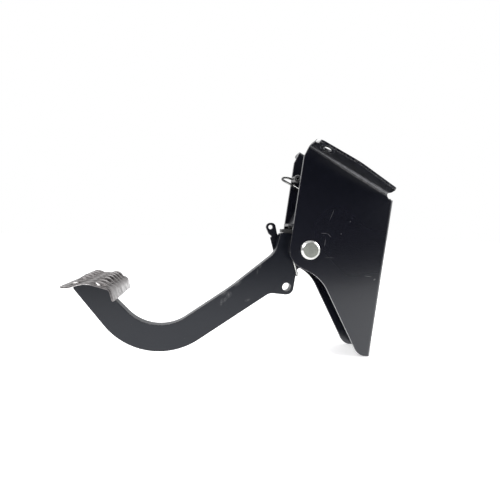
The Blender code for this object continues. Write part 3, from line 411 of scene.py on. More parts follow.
pin_hole = ring_line((0, 0), PIN_RADIUS + SEAT_GAP + SHEET_RIM)
cheek = upright(*filled(cheek_line, [pin_hole]), -CHEEK_MIDDLE, (0, -1, 0))
web_fold = fold_rows((web_line, web_up), web_out, 1, web_start, web_tops)
flange_fold = fold_rows((flange_line, flange_along), flange_up, -1, flange_start, flange_backs)

flange_length = np.hypot(*(fold_corner - flange_front)) - FLANGE_STOP
flange_limit = flange_backs[-1] + SHEET_RIM
slant_at = (flange_length - flange_limit) / FLANGE_SLANT * (SHEET / 2 + FLANGE_DEPTH_BACK)
flange_edge = rounded_line([
    (0, FOLD_RADIUS, 0), (0, SHEET / 2 + FLANGE_DEPTH_FRONT, FLANGE_FRONT_RADIUS),
    (FLANGE_WIDEST_AT, SHEET / 2 + FLANGE_DEPTH, FLANGE_EDGE_RADIUS),
    (flange_length - FLANGE_SLANT, SHEET / 2 + FLANGE_DEPTH_BACK, FLANGE_BACK_RADIUS),
    (flange_limit, FOLD_RADIUS + slant_at, 0), (flange_limit, FOLD_RADIUS, 0),
])[::-1]
flange_depth = np.full(len(flange_edge), SHEET_RIM)
flange_depth[-1] = 0
flange_edge = drawn_in(flange_edge, flange_depth)
flange_edge[0] = flange_backs[-1], FOLD_RADIUS
flange_edge[-1] = flange_start[-1], FOLD_RADIUS
bolt_hole = ring_line((FLANGE_HOLE_ALONG, CHEEK_OUTER + FLANGE_HOLE_OUT - CHEEK_MIDDLE),
                      FLANGE_HOLE_RADIUS + SHEET_RIM)
flange_points, flange_faces = filled(flange_edge, [bolt_hole])
flange_plane = flange_line + flange_up * FOLD_RADIUS + flange_points[:, :1] * flange_along
flange = upright(flange_plane, flange_faces, -CHEEK_MIDDLE - flange_points[:, 1],
                 (-flange_up[0], 0, -flange_up[1]))

inner_corner = crossing(web_line, BACK_UP, flange_line, -TOP_FALL)
web_top = (inner_corner - web_line) @ web_up - SEAT_GAP - SHEET_RIM
web_half = CHEEK_MIDDLE - FOLD_RADIUS
notch = RELIEF_INNER - SHEET_RIM
web_edge = np.array([(-web_half, web_start[-1]), (web_half, web_start[-1]),
                     (web_half, web_tops[-1]), (notch, web_tops[-1]), (notch, web_top),
                     (-notch, web_top), (-notch, web_tops[-1]), (-web_half, web_tops[-1])])
window = crossing((BACK_REACH, 0), BACK_UP, ROD_HOLE, -BACK_LEAN)
window_up = (window - web_line) @ web_up
web_holes = [ring_line((0, window_up), ROD_WINDOW_RADIUS + SHEET_RIM)]
web_holes += [ring_line((0, window_up + side * CYLINDER_HOLE_SPACING / 2),
                        CYLINDER_HOLE_RADIUS + SHEET_RIM) for side in (1, -1)]
web_points, web_faces = filled(web_edge, web_holes)
web_plane = web_line + web_out * FOLD_RADIUS + web_points[:, 1:] * web_up
web = upright(web_plane, web_faces, web_points[:, 0], (web_out[0], 0, web_out[1]))

near_half = [cheek, web_fold, flange_fold, flange]
other_way = np.array([1, -1, 1])
far_half = [(points * other_way, normals * other_way, faces)
            for points, normals, faces in near_half]
bracket_solid = sheet_solid(*joined(near_half + far_half + [web]), SHEET, SHEET_ROUNDING)


def add_node(kind, inputs, tree=None, **settings):
    """One shader node; each input is a value, or the output in the same tree that feeds it."""
    feeds = [value for value in inputs.values() if isinstance(value, bpy.types.NodeSocket)]
    tree = tree or feeds[0].id_data
    made = tree.nodes.new("ShaderNode" + kind)
    for name, value in settings.items():
        setattr(made, name, value)
    for socket, value in inputs.items():
        if isinstance(value, bpy.types.NodeSocket):
            tree.links.new(value, made.inputs[socket])
        else:
            made.inputs[socket].default_value = value
    return made


def new_finish(name, **sockets):
    """New material, its shader and the place on the piece that its patterns read."""
    finish = bpy.data.materials.new(name)
    finish.use_nodes = True
    tree = finish.node_tree
    shader = tree.nodes["Principled BSDF"]
    for socket, value in sockets.items():
        shader.inputs[socket.replace("_", " ")].default_value = value
    place = add_node("TexCoord", {}, tree).outputs["Object"]
    return finish, shader, place


def noise(place, scale, detail=3.0):
    """Cloudy pattern from 0 to 1; scale is how many clouds lie on a metre."""
    return add_node("TexNoise", {"Vector": place, "Scale": scale, "Detail": detail}).outputs["Fac"]


def graded(value, low, high, to_low=0.0, to_high=1.0):
    """Value taken from the range low to high into the range to_low to to_high, and held there."""
    return add_node("MapRange", {
        "Value": value, "From Min": low, "From Max": high,
        "To Min": to_low, "To Max": to_high}).outputs["Result"]


def worked(operation, *values):
    """Values added, multiplied or otherwise worked together, from left to right."""
    result = values[0]
    for value in values[1:]:
        result = add_node("Math", {0: result, 1: value}, operation=operation).outputs[0]
    return result


def mixed(amount, first, second):
    """Colour that goes from the first to the second with the amount."""
    colours = [colour if isinstance(colour, bpy.types.NodeSocket) else (*colour, 1.0)
               for colour in (first, second)]
    return add_node("Mix", {0: amount, 6: colours[0], 7: colours[1]}, data_type="RGBA").outputs[2]


def laid_on(colour, layer, pattern, share):
    """Colour with a layer over it where a pattern shows, by no more than the layer's share."""
    return mixed(worked("MULTIPLY", pattern, share), colour, layer)


def mark_of(place, name):
    """Mark that the piece carries at its points, from 0 to 1."""
    return add_node("Attribute", {}, place.id_data, attribute_name=name).outputs["Fac"]


def turned_place(place, at=(0, 0, 0), turn=(0, 0, 0), scale=(1, 1, 1)):
    """Place moved to at, turned by degrees and stretched, for a pattern with a direction."""
    moved = add_node("VectorMath", {0: place, 1: tuple(at)}, operation="SUBTRACT")
    turned = add_node("VectorRotate", {
        "Vector": moved.outputs[0], "Rotation": [math.radians(angle) for angle in turn]},
        rotation_type="EULER_XYZ")
    return add_node("VectorMath", {0: turned.outputs[0], 1: tuple(scale)},
                    operation="MULTIPLY").outputs[0]


def far_from(place, at=(0, 0, 0), turn=(0, 0, 0), scale=(1, 1, 1)):
    """Distance of the place from at, measured in the turned and stretched directions."""
    local = turned_place(place, at, turn, scale)
    return add_node("VectorMath", {0: local}, operation="LENGTH").outputs["Value"]


def fine_lines(place, turn, along, across, threshold):
    """Thin straight marks: clouds drawn out one way, of which only the highest show."""
    drawn = turned_place(place, turn=turn, scale=(along, across, across))
    return graded(noise(drawn, 1.0, 2.0), threshold, threshold + 0.03)


def give_surface(shader, colour, height, depth, rough=None):
    """Give a finish its colour, its relief, depth metres deep, and a roughness that varies."""
    tree = shader.id_data
    tree.links.new(colour, shader.inputs["Base Color"])
    bump = add_node("Bump", {"Height": height, "Distance": depth, "Strength": 1.0})
    tree.links.new(bump.outputs["Normal"], shader.inputs["Normal"])
    if rough is not None:
        tree.links.new(rough, shader.inputs["Roughness"])


def scratch_at(place, at, angle, length, width, soft=0.4):
    """One scratch: 1 inside a thin spindle round its middle, falling to 0 over its soft share."""
    reach = far_from(place, pivot + (at[0], 0, at[1]), (0, angle, 0), (2 / length, 0, 2 / width))
    return graded(reach, 1.0, 1.0 - soft)


def bolt_ring(place, centre):
    """Patchy ring that a bolt's head pressed into the paint: 1 between two radii, 0 elsewhere."""
    reach = far_from(place, pivot + centre)
    inside = graded(reach, BOLT_PRINT_INNER, BOLT_PRINT_INNER + 0.0002)
    outside = graded(reach, BOLT_PRINT_OUTER, BOLT_PRINT_OUTER - 0.0002)
    patchy = graded(noise(place, 500.0, 3.0), 0.42, 0.60)
    return worked("MULTIPLY", inside, outside, patchy)


def fold_highlight_mask(place):
    """Painted highlight in the hollow of the flanges' folds: 1 near each fold's axis, 0 from 2.2 mm
    away.

    It narrows and fades towards the flanges' front.
    """
    local = turned_place(place, at=pivot + (flange_line[0], 0, flange_line[1]),
                         turn=(0, -TOP_FALL, 0), scale=(0, 1, 1))
    both = add_node("VectorMath", {0: local}, operation="ABSOLUTE").outputs[0]
    reach = far_from(both, at=(0, CHEEK_MIDDLE + FOLD_RADIUS, 0))
    back = add_node("SeparateXYZ", {"Vector": place}).outputs["X"]
    front = pivot[0] + flange_line[0]
    reach = worked("ADD", reach, graded(back, front, front + FOLD_HIGHLIGHT_FADES_OVER, 0.0005, 0.0))
    patchy = graded(noise(place, 260.0, 3.0), 0.30, 0.62, 0.55, 1.0)
    highlight_fades = graded(back, front, front + FOLD_HIGHLIGHT_FADES_OVER, 0.45, 1.0)
    return worked("MULTIPLY", patchy, highlight_fades, graded(reach, 0.0022, 0.0016))


def painted_glint(place, at, size):
    """Painted highlight on a corner: 1 inside a ragged ball round a point, 0 outside."""
    ragged = worked("MULTIPLY", noise(place, 600.0, 4.0), size)
    reach = worked("ADD", far_from(place, pivot + at), ragged)
    return graded(reach, size * 1.3, size * 1.1)


def black_paint(name, dark, light, rough, coat, marks=(), rings=(), glints=(), scuffs=(),
                folds=False):
    """Black paint with faint cloudiness, orange peel, dust, hairline scratches and worn edges, and
    where asked a painted highlight along the folds and painted glints on corners.
    """
    finish, shader, place = new_finish(
        name, Roughness=rough, Coat_Weight=coat, Coat_Roughness=rough * 0.7,
        Specular_IOR_Level=0.42, Specular_Tint=(0.90, 0.94, 1.0, 1.0))
    cloud = graded(noise(place, 18.0, 2.0), 0.30, 0.70)
    colour = mixed(cloud, dark, light)
    specks = add_node("TexVoronoi", {"Vector": place, "Scale": 420.0})
    lit = graded(specks.outputs["Distance"], 0.10, 0.04)
    rare = graded(noise(place, 130.0, 1.0), 0.64, 0.72)
    dust = worked("MULTIPLY", lit, rare)
    hair = worked("MULTIPLY", fine_lines(place, (20, 35, 10), 60.0, 2600.0, 0.74),
                  graded(noise(place, 30.0), 0.54, 0.70, 0.0, 0.25))
    broken = graded(noise(place, 800.0, 4.0), 0.36, 0.62, 0.25, 1.0)
    scrapes = [scratch_at(place, *mark) for mark in marks]
    scrapes += [bolt_ring(place, ring) for ring in rings]
    scrapes += [worked("MULTIPLY", scratch_at(place, *scuff, soft=1.0), broken) for scuff in scuffs]
    scraped = worked("MAXIMUM", hair, *scrapes)
    chips = graded(noise(place, 700.0, 4.0), 0.50, 0.62)
    worn = worked("MULTIPLY", mark_of(place, "edge"), chips)
    colour = laid_on(colour, DUST_GREY, dust, 0.35)
    colour = laid_on(colour, SCRATCH_GREY, scraped, 0.45)
    colour = laid_on(colour, CHIPPED_EDGE, worn, 0.5)
    # Painted highlight along the hollow of the folds.
    if folds:
        colour = laid_on(colour, FOLD_PAINTED_HIGHLIGHT, fold_highlight_mask(place), 0.75)
    # Painted highlights, near white, on the given corners.
    for glint in glints:
        colour = mixed(painted_glint(place, *glint), colour, PAINTED_GLINT_WHITE)
    smear = graded(noise(place, 14.0, 0.0), 0.0, 1.0, rough - 0.04, rough + 0.05)
    duller = worked("ADD", smear, worked("MULTIPLY", dust, 0.08))
    give_surface(shader, colour, noise(place, 750.0, 2.0), 0.000007, duller)
    return finish


bolt_at = flange_front + flange_along * FLANGE_HOLE_ALONG
bolt_rings = [(bolt_at[0], side * (CHEEK_OUTER + FLANGE_HOLE_OUT), bolt_at[1]) for side in (-1, 1)]
# The near flange's front corner, where a painted highlight lies.
glint_corner = (flange_front[0] + GLINT_BACK, -CHEEK_OUTER - GLINT_OUT, flange_front[1])
bracket_paint = black_paint(
    "gloss_black_paint", (0.0046, 0.0050, 0.0094), (0.0054, 0.0058, 0.0108), 0.28, 0.6,
    marks=BRACKET_SCRATCHES, rings=bolt_rings, folds=True,
    glints=[(glint_corner, GLINT_SIZE)])
add_piece("folded_bracket", "bracket", "bracket", "bracket_black", bracket_paint, *bracket_solid)

# Stop plate
# A strip of the same sheet, folded once and welded between the cheeks, then painted with them.
# Its level front part carries the rubber stop.

BOSS_TOP = 0.0152
BLOCK_THICKNESS = 0.0033
BUMPER_THICKNESS = 0.0021
BRIDGE_FRONT = -0.0164
BRIDGE_SHELF = 0.0047
BRIDGE_RISE = 62.4
BRIDGE_LEG = 0.0150
BRIDGE_FOLD_RADIUS = 0.0020
bridge_middle = BOSS_TOP + BLOCK_THICKNESS + BUMPER_THICKNESS + 3 * SEAT_GAP + SHEET / 2


def strip_solid(line, half_width, thickness, rounding, columns=2):
    """Folded strip: a side view's line carried straight across, with the line's own normals."""
    runs = np.gradient(line, axis=0)
    runs /= np.linalg.norm(runs, axis=1, keepdims=True)
    across = np.linspace(-half_width, half_width, columns)
    points = np.stack([np.repeat(line[:, 0], columns), np.tile(across, len(line)),
                       np.repeat(line[:, 1], columns)], axis=1)
    normals = np.stack([-runs[:, 1], np.zeros(len(line)), runs[:, 0]], axis=1)
    rows = np.arange(len(points)).reshape(-1, columns)
    return sheet_solid(points, np.repeat(normals, columns, axis=0), band(rows), thickness, rounding)


bridge_fold = np.array([BRIDGE_FRONT + BRIDGE_SHELF, bridge_middle])
bridge_line = rounded_line([
    (BRIDGE_FRONT + SHEET_RIM, bridge_middle, 0), (*bridge_fold, BRIDGE_FOLD_RADIUS),
    (*(bridge_fold + heading(BRIDGE_RISE) * (BRIDGE_LEG - SHEET_RIM)), 0),
], closed=False, hold=HOLD)
bridge_solid = strip_solid(bridge_line, CHEEK_INNER - SEAT_GAP - SHEET_RIM, SHEET, SHEET_ROUNDING)
stop_paint = black_paint("stop_plate_paint", (0.014, 0.0145, 0.018), (0.028, 0.028, 0.031), 0.34,
                         0.4)
add_piece("stop_plate", "stop_bridge", "bracket", "bracket_black", stop_paint, *bridge_solid)

# Rubber stop
# A small moulded button pressed into the stop plate; the arm's bar rests against it.
# Its lower rim is slightly smaller, as the mould leaves it.

BUMPER_RADIUS = 0.0036
BUMPER_TAPER = 0.0004


def round_faces(rings, sides, tipped):
    """Faces that join rings of points one to the next.

    A tipped piece ends in two fans, round the two points that follow its rings; any other one
    joins its last ring to its first.
    """
    rows = np.arange(rings * sides).reshape(-1, sides)
    rows = np.hstack([rows, rows[:, :1]])
    if not tipped:
        rows = np.vstack([rows, rows[:1]])
    quads = np.stack([rows[:-1, :-1], rows[:-1, 1:], rows[1:, 1:], rows[1:, :-1]], axis=-1)
    faces = [quads.reshape(-1, 4)]
    if tipped:
        first = np.full(sides, rings * sides)
        faces.append(np.stack([rows[0, 1:], rows[0, :-1], first], axis=1))
        faces.append(np.stack([rows[-1, :-1], rows[-1, 1:], first + 1], axis=1))
    return faces


def turned_solid(profile, sides=64, centre=(0.0, 0.0), upright_axis=False):
    """Turned piece: radius (cos a, sin a) about an axis at each (radius, along) of a profile.

    A profile that starts at the axis ends in two tips; any other one closes on itself.
    """
    angles = np.linspace(0, 2 * math.pi, sides, endpoint=False)
    tipped = profile[0, 0] == 0
    body = profile[1:-1] if tipped else profile
    ring = body[:, :1, None] * directions(angles).T[None]
    along = np.repeat(body[:, 1:], sides, axis=1)
    points = np.stack([ring[:, 0], along, ring[:, 1]], axis=-1).reshape(-1, 3)
    if tipped:
        points = np.vstack([points, (0, profile[0, 1], 0), (0, profile[-1, 1], 0)])
    faces = round_faces(len(body), sides, tipped)
    if upright_axis:
        points = points[:, [0, 2, 1]]
    points[:, 0] += centre[0]
    points[:, 2] += centre[1]
    return points, faces


def turned_profile(corners, rounding):
    """Profile (radius, along) with each corner rounded by its radius or the common one."""
    rounded = [(*corner[:2], corner[2] if len(corner) > 2 else rounding) for corner in corners]
    closed = corners[0][0] > 0
    return rounded_line(rounded, closed=closed, hold=rounding * 0.4, step=18.0)


bumper_low = BOSS_TOP + 2 * SEAT_GAP + BLOCK_THICKNESS
bumper_profile = turned_profile([
    (0, bumper_low), (BUMPER_RADIUS - BUMPER_TAPER, bumper_low),
    (BUMPER_RADIUS, bumper_low + BUMPER_THICKNESS), (0, bumper_low + BUMPER_THICKNESS)], 0.0004)
bumper_solid = turned_solid(
    bumper_profile, 48, (BRIDGE_FRONT + SEAT_GAP + BUMPER_RADIUS, 0), upright_axis=True)


def moulded_rubber(name, black, grey):
    """Black rubber with a greyish bloom in patches and a fine grain from the mould."""
    finish, shader, place = new_finish(name, Roughness=0.8)
    bloom = graded(noise(place, 300.0, 5.0), 0.45, 0.75)
    give_surface(shader, mixed(bloom, black, grey),
                 noise(place, 2500.0, 3.0), 0.00004)
    return finish


stop_rubber = moulded_rubber("stop_rubber", (0.014, 0.014, 0.015), (0.045, 0.044, 0.042))
add_piece("rubber_stop", "stop_bumper", "bracket", "bumper_rubber", stop_rubber, *bumper_solid)

# Lead guide
# A hollow zinc-plated stud on the far cheek and a loop of bright wire beside it, which keep the
# brake light switch's lead clear of the arm. Both are welded to the cheek.

GUIDE_STUD_RADIUS = 0.0038
GUIDE_STUD_LENGTH = 0.0085
GUIDE_STUD_SOCKET = 0.0012
GUIDE_STUD = np.array([-0.0062, 0.0684])
GUIDE_WIRE_RADIUS = 0.00110
GUIDE_REACH = 0.0154
GUIDE_LOOP_RADIUS = 0.0015
GUIDE_RISE = 0.0016
GUIDE_FALL = 0.0098
GUIDE_END = 0.0040
GUIDE_STEP = 0.0003
WIRE_END = np.array([(0.0, 0.72), (0.08, 0.90), (0.28, 1.0)])
PLATE_PIT = (0.10, 0.095, 0.08)
PLATE_LINE = (0.75, 0.75, 0.73)
PLATE_RUBBED = (0.93, 0.93, 0.92)


def zinc_plate(name, clean, dull, rough):
    """Zinc plate: cloudy grey with a faint warm cast, fine turning marks and a few dark pits."""
    finish, shader, place = new_finish(name, Metallic=0.95)
    cloud = graded(noise(place, 220.0, 5.0), 0.35, 0.7)
    pits = graded(noise(place, 1500.0, 2.0), 0.68, 0.74)
    lines = fine_lines(place, (15, 50, 30), 150.0, 4500.0, 0.62)
    rubbed = mark_of(place, "edge")
    colour = mixed(cloud, clean, dull)
    colour = laid_on(colour, PLATE_PIT, pits, 0.6)
    colour = laid_on(colour, PLATE_LINE, lines, 0.3)
    colour = laid_on(colour, PLATE_RUBBED, rubbed, 0.7)
    duller = worked("SUBTRACT", graded(cloud, 0, 1, rough - 0.06, rough + 0.10),
                    worked("MULTIPLY", rubbed, 0.03))
    pitted = worked("SUBTRACT", noise(place, 900.0, 4.0), pits)
    height = worked("MULTIPLY", pitted, graded(rubbed, 0, 1, 1.0, 0.25))
    give_surface(shader, colour, height, 0.00004, duller)
    return finish


def wire_solid(path, radius, sides=16):
    """Round wire: at each point of its path a circle radius (u cos a + v sin a) square to it.

    u and v come from the path's direction and one fixed direction. Both ends are rounded, by
    circles at (along, wide) times the wire's radius.
    """
    path = np.asarray(path, float)
    runs = np.gradient(path, axis=0)
    runs /= np.linalg.norm(runs, axis=1, keepdims=True)
    u = np.cross(runs, (0.3, 1.0, 0.2))
    u /= np.linalg.norm(u, axis=1, keepdims=True)
    v = np.cross(runs, u)
    along, wide = WIRE_END[:, :1] * radius, WIRE_END[:, 1] * radius
    spine = np.vstack([path[0] + runs[0] * along, path[1:-1], path[-1] - runs[-1] * along[::-1]])
    wide = np.concatenate([wide, np.full(len(path) - 2, radius), wide[::-1]])
    middle = np.arange(1, len(path) - 1)
    pick = np.concatenate([[0] * len(WIRE_END), middle, [len(path) - 1] * len(WIRE_END)])
    angles = np.linspace(0, 2 * math.pi, sides, endpoint=False)[None, :, None]
    ring = u[pick, None] * np.cos(angles) + v[pick, None] * np.sin(angles)
    points = (spine[:, None] + ring * wide[:, None, None]).reshape(-1, 3)
    points = np.vstack([points, spine[:1], spine[-1:]])
    return points, round_faces(len(spine), sides, True)


def smooth_path(points, spacing):
    """Path through points, evened out to one spacing and then averaged with its neighbours."""
    points = np.asarray(points, float)
    gaps = np.linalg.norm(np.diff(points, axis=0), axis=1)
    far = np.concatenate([[0], np.cumsum(gaps)])
    at = np.linspace(0, far[-1], max(8, round(far[-1] / spacing)))
    path = np.stack([np.interp(at, far, points[:, axis]) for axis in range(3)], axis=1)
    for _ in range(6):
        path[1:-1] = path[1:-1] / 2 + (path[:-2] + path[2:]) / 4
    return path


stud_far = CHEEK_INNER - SEAT_GAP
stud_near = stud_far - GUIDE_STUD_LENGTH
stud_profile = turned_profile([
    (0, stud_far), (GUIDE_STUD_RADIUS, stud_far, 0.0002), (GUIDE_STUD_RADIUS, stud_near, 0.0008),
    (GUIDE_STUD_SOCKET, stud_near, 0.0003),
    (GUIDE_STUD_SOCKET, stud_near + GUIDE_STUD_LENGTH / 2, 0.0002),
    (0, stud_near + GUIDE_STUD_LENGTH / 2)], 0.0002)
stud_zinc = zinc_plate("stud_zinc", (0.20, 0.20, 0.20), (0.12, 0.12, 0.12), 0.42)
add_piece("hollow_stud", "guide_stud", "bracket", "zinc_plate", stud_zinc,
          *turned_solid(stud_profile, 48, GUIDE_STUD))

loop_y = CHEEK_INNER - SEAT_GAP - GUIDE_STUD_LENGTH / 2
loop_low = GUIDE_STUD[1] - GUIDE_FALL
loop_tip = GUIDE_STUD[0] - GUIDE_REACH + GUIDE_LOOP_RADIUS + GUIDE_WIRE_RADIUS
loop_turn = ring_line((loop_tip, GUIDE_STUD[1] + GUIDE_RISE - GUIDE_LOOP_RADIUS),
                      GUIDE_LOOP_RADIUS, 14.5)[7:17]
loop_points = [(GUIDE_STUD[0] - GUIDE_STUD_RADIUS - SEAT_GAP, loop_y, GUIDE_STUD[1]),
               (loop_tip + 2 * GUIDE_LOOP_RADIUS, loop_y, GUIDE_STUD[1] + GUIDE_RISE)]
loop_points += [(x, loop_y, z) for x, z in loop_turn]
loop_points += [(loop_tip + 5 * GUIDE_LOOP_RADIUS, loop_y, (loop_turn[-1][1] + loop_low) / 2),
                (GUIDE_STUD[0] + GUIDE_END, stud_far - GUIDE_WIRE_RADIUS, loop_low)]


def bright_steel(name, clean, dull):
    """Bright spring steel with dull patches and a fine grain."""
    finish, shader, place = new_finish(name, Metallic=1.0)
    cloud = graded(noise(place, 350.0, 4.0), 0.4, 0.7)
    duller = graded(noise(place, 900.0), 0.3, 0.7, 0.16, 0.34)
    give_surface(shader, mixed(cloud, clean, dull),
                 noise(place, 3500.0, 2.0), 0.00002, duller)
    return finish


loop_steel = bright_steel("loop_wire_steel", (0.34, 0.34, 0.33), (0.15, 0.15, 0.15))
add_piece("wire_loop", "guide_loop", "bracket", "bright_wire", loop_steel,
          *wire_solid(smooth_path(loop_points, GUIDE_STEP), GUIDE_WIRE_RADIUS))

# Pivot pin with its washer and clip
# A turned steel pin with a flat chamfered head, zinc plated with a faint green-grey passivate.
# It is pushed in from the near side and held on the far side by a washer and a spring clip.

PIN_HEAD_RADIUS = 0.0088
PIN_HEAD_HEIGHT = 0.0032
PIN_HEAD_CHAMFER = 0.0018
PIN_END = 0.0028
PIN_CHAMFER = 0.0008
WASHER_RADIUS = 0.0112
WASHER_THICKNESS = 0.0016
CLIP_THICKNESS = 0.0012
CLIP_RADIUS = 0.0088
CLIP_BITE = 0.0008
CLIP_MOUTH = 52.0
CLIP_STEPS = 61

head_seat = -(CHEEK_OUTER + SEAT_GAP)
head_face = head_seat - PIN_HEAD_HEIGHT
groove = CHEEK_OUTER + 2 * SEAT_GAP + WASHER_THICKNESS
groove_end = groove + CLIP_THICKNESS + 2 * SEAT_GAP
pin_profile = turned_profile([
    (0, groove_end + PIN_END), (PIN_RADIUS - PIN_CHAMFER, groove_end + PIN_END),
    (PIN_RADIUS, groove_end + PIN_END - PIN_CHAMFER), (PIN_RADIUS, groove_end),
    (PIN_RADIUS - CLIP_BITE, groove_end), (PIN_RADIUS - CLIP_BITE, groove), (PIN_RADIUS, groove),
    (PIN_RADIUS, head_seat), (PIN_HEAD_RADIUS, head_seat, 0.0004),
    (PIN_HEAD_RADIUS, head_face + PIN_HEAD_CHAMFER * 0.75, 0.0003),
    (PIN_HEAD_RADIUS - PIN_HEAD_CHAMFER, head_face, 0.0005), (0, head_face)], 0.00015)
pin_zinc = zinc_plate("pin_zinc", (0.70, 0.73, 0.64), (0.53, 0.55, 0.48), 0.36)
pin_points, pin_faces = turned_solid(pin_profile, 96)
pin_out = np.hypot(pin_points[:, 0], pin_points[:, 2])
on_chamfer = (pin_out > PIN_HEAD_RADIUS - PIN_HEAD_CHAMFER) & (pin_points[:, 1] < head_seat)
add_piece("headed_pin", "pivot_pin", "bracket", "zinc_plate", pin_zinc, pin_points, pin_faces,
          on_chamfer.astype(float))

washer_near = CHEEK_OUTER + SEAT_GAP
washer_profile = turned_profile([
    (WASHER_RADIUS, washer_near + WASHER_THICKNESS), (WASHER_RADIUS, washer_near),
    (PIN_RADIUS + SEAT_GAP, washer_near), (PIN_RADIUS + SEAT_GAP, washer_near + WASHER_THICKNESS),
], 0.00025)
washer_zinc = zinc_plate("washer_zinc", (0.52, 0.52, 0.50), (0.38, 0.38, 0.36), 0.32)
add_piece("plain_washer", "pin_washer", "bracket", "zinc_plate", washer_zinc,
          *turned_solid(washer_profile, 72))


def plate_solid(outer, holes, middle, thickness, rounding, wall_mark=1.0):
    """Flat plate of an outline in X and Z and its holes, each drawn in by the rim first."""
    rim = rounding + HOLD
    outer = drawn_in(wound_left(outer), rim)
    holes = [ring_line(centre, radius + rim) for centre, radius in holes]
    flat = upright(*filled(outer, holes), middle, (0, -1, 0))
    return sheet_solid(*flat, thickness, rounding, wall_mark)


clip_bore = PIN_RADIUS - CLIP_BITE + SEAT_GAP
clip_angles = np.radians(np.linspace(270 + CLIP_MOUTH, 630 - CLIP_MOUTH, CLIP_STEPS))
clip_round = directions(clip_angles)
clip_line = np.vstack([clip_round * CLIP_RADIUS, clip_round[::-1] * clip_bore])
clip_middle = groove + SEAT_GAP + CLIP_THICKNESS / 2
clip_solid = plate_solid(clip_line, (), clip_middle, CLIP_THICKNESS, 0.0002)
clip_steel = bright_steel("clip_steel", (0.42, 0.42, 0.43), (0.24, 0.24, 0.25))
add_piece("spring_clip", "pin_clip", "bracket", "bright_wire", clip_steel, *clip_solid)

# Hub tube and its bushes
# A steel tube welded through the arm's boss and painted with it. A flanged bush of moulded
# nylon is pressed into each end and runs on the pin.

HUB_RADIUS = 0.0127
HUB_BORE = 0.0095
BUSH_BORE = 0.0061
BUSH_BARREL = 0.0092
BUSH_FLANGE = 0.0118
BUSH_FLANGE_THICKNESS = 0.0010
BUSH_LENGTH = 0.0092

hub_end = CHEEK_INNER - 2 * SEAT_GAP - BUSH_FLANGE_THICKNESS
hub_profile = turned_profile([(HUB_RADIUS, hub_end), (HUB_RADIUS, -hub_end),
                              (HUB_BORE, -hub_end), (HUB_BORE, hub_end)], 0.0004)
hub_paint = black_paint("hub_paint", (0.010, 0.0105, 0.013), (0.016, 0.0165, 0.020), 0.36, 0.2)
add_piece("welded_tube", "hub_tube", "pedal", "arm_satin_black", hub_paint,
          *turned_solid(hub_profile, 72))


def moulded_nylon(name, clean, greasy):
    """Nylon that lets a little light in, with patches of grease that shine more."""
    finish, shader, place = new_finish(
        name, Roughness=0.5, Subsurface_Weight=0.05, Subsurface_Scale=0.002)
    grease = graded(noise(place, 260.0, 4.0), 0.5, 0.75)
    give_surface(shader, mixed(grease, clean, greasy),
                 noise(place, 1800.0, 3.0), 0.00003, graded(grease, 0, 1, 0.5, 0.3))
    return finish


bush_nylon = moulded_nylon("moulded_nylon", (0.68, 0.66, 0.59), (0.42, 0.39, 0.32))
bush_face = CHEEK_INNER - SEAT_GAP
bush_seat = bush_face - BUSH_FLANGE_THICKNESS
bush_profile = turned_profile([
    (BUSH_FLANGE, bush_face), (BUSH_FLANGE, bush_seat), (BUSH_BARREL, bush_seat),
    (BUSH_BARREL, bush_seat - BUSH_LENGTH), (BUSH_BORE, bush_seat - BUSH_LENGTH),
    (BUSH_BORE, bush_face)], 0.0002)
bush_points, bush_faces = turned_solid(bush_profile, 64)
add_piece("near_flanged_bush", "near_bush", "pedal", "bush_nylon", bush_nylon,
          bush_points * other_way, bush_faces)
add_piece("far_flanged_bush", "far_bush", "pedal", "bush_nylon", bush_nylon, bush_points,
          bush_faces)

# Arm
# One piece of 8 mm steel plate, flame cut: a boss round the hub, a lobe with the push rod's hole,
# and a long arm that dips to the belly and rises to the foot pad. It is painted satin black.

ARM_THICKNESS = 0.008
ARM_ROUNDING = 0.0005
BOSS_RADIUS = 0.0184
BOSS_END = -99.6
PAD_FRONT, PAD_FRONT_Z = -0.2197, -0.0346
PAD_BACK, PAD_BACK_Z = -0.1784, -0.0361
PAD_CROWN_Z = -0.0302
PAD_FRONT_FLAT = 0.0072
PAD_FRONT_RADIUS = 0.020
PAD_CROWN_RADIUS = 0.024
LIP_HEIGHT = 0.0103
LIP_SPLAY = 17.0
LIP_FOLD_RADIUS = 0.0034
TOE = np.array([PAD_FRONT + 0.0004, PAD_FRONT_Z - 0.0058])
TOE_RADIUS = 0.0015
HEEL = np.array([PAD_BACK - 0.0040, PAD_BACK_Z - 0.0125])
ARM_HEEL_RADIUS = 0.006
BELLY_X = -0.1388
BELLY_RADIUS = 0.0672
BELLY_TOP = (-0.1436, -0.0871, 0.0433)
SADDLE = (-0.0713, -0.0382, 0.150)
NECK = (-0.0286, -0.0038, 0.018)
LEVEL_TOP = (-0.0243, BOSS_TOP, 0.002)
LOBE_ROOT = (-0.0076, -0.0188, 0.005)
LOBE_BACK = 0.0058
LOBE_DROP = 0.0080
LOBE_WALL = 0.0031
ROD_HOLE_RADIUS = 0.0041
THROAT = np.array([-0.0335, -0.0430])
THROAT_RADIUS = 0.010
ARM_SCUFFS = (
    ((-0.0729, -0.0447), 65, 0.0085, 0.0060), ((-0.0765, -0.0495), 52, 0.0085, 0.0040),
    ((-0.0798, -0.0520), 80, 0.0090, 0.0034), ((-0.0775, -0.0435), 30, 0.0090, 0.0040),
    ((-0.0650, -0.0335), 36, 0.0120, 0.0060), ((-0.0430, -0.0166), 72, 0.0075, 0.0028),
    ((-0.0458, -0.0222), 84, 0.0070, 0.0020), ((-0.0549, -0.0500), 20, 0.0070, 0.0030))


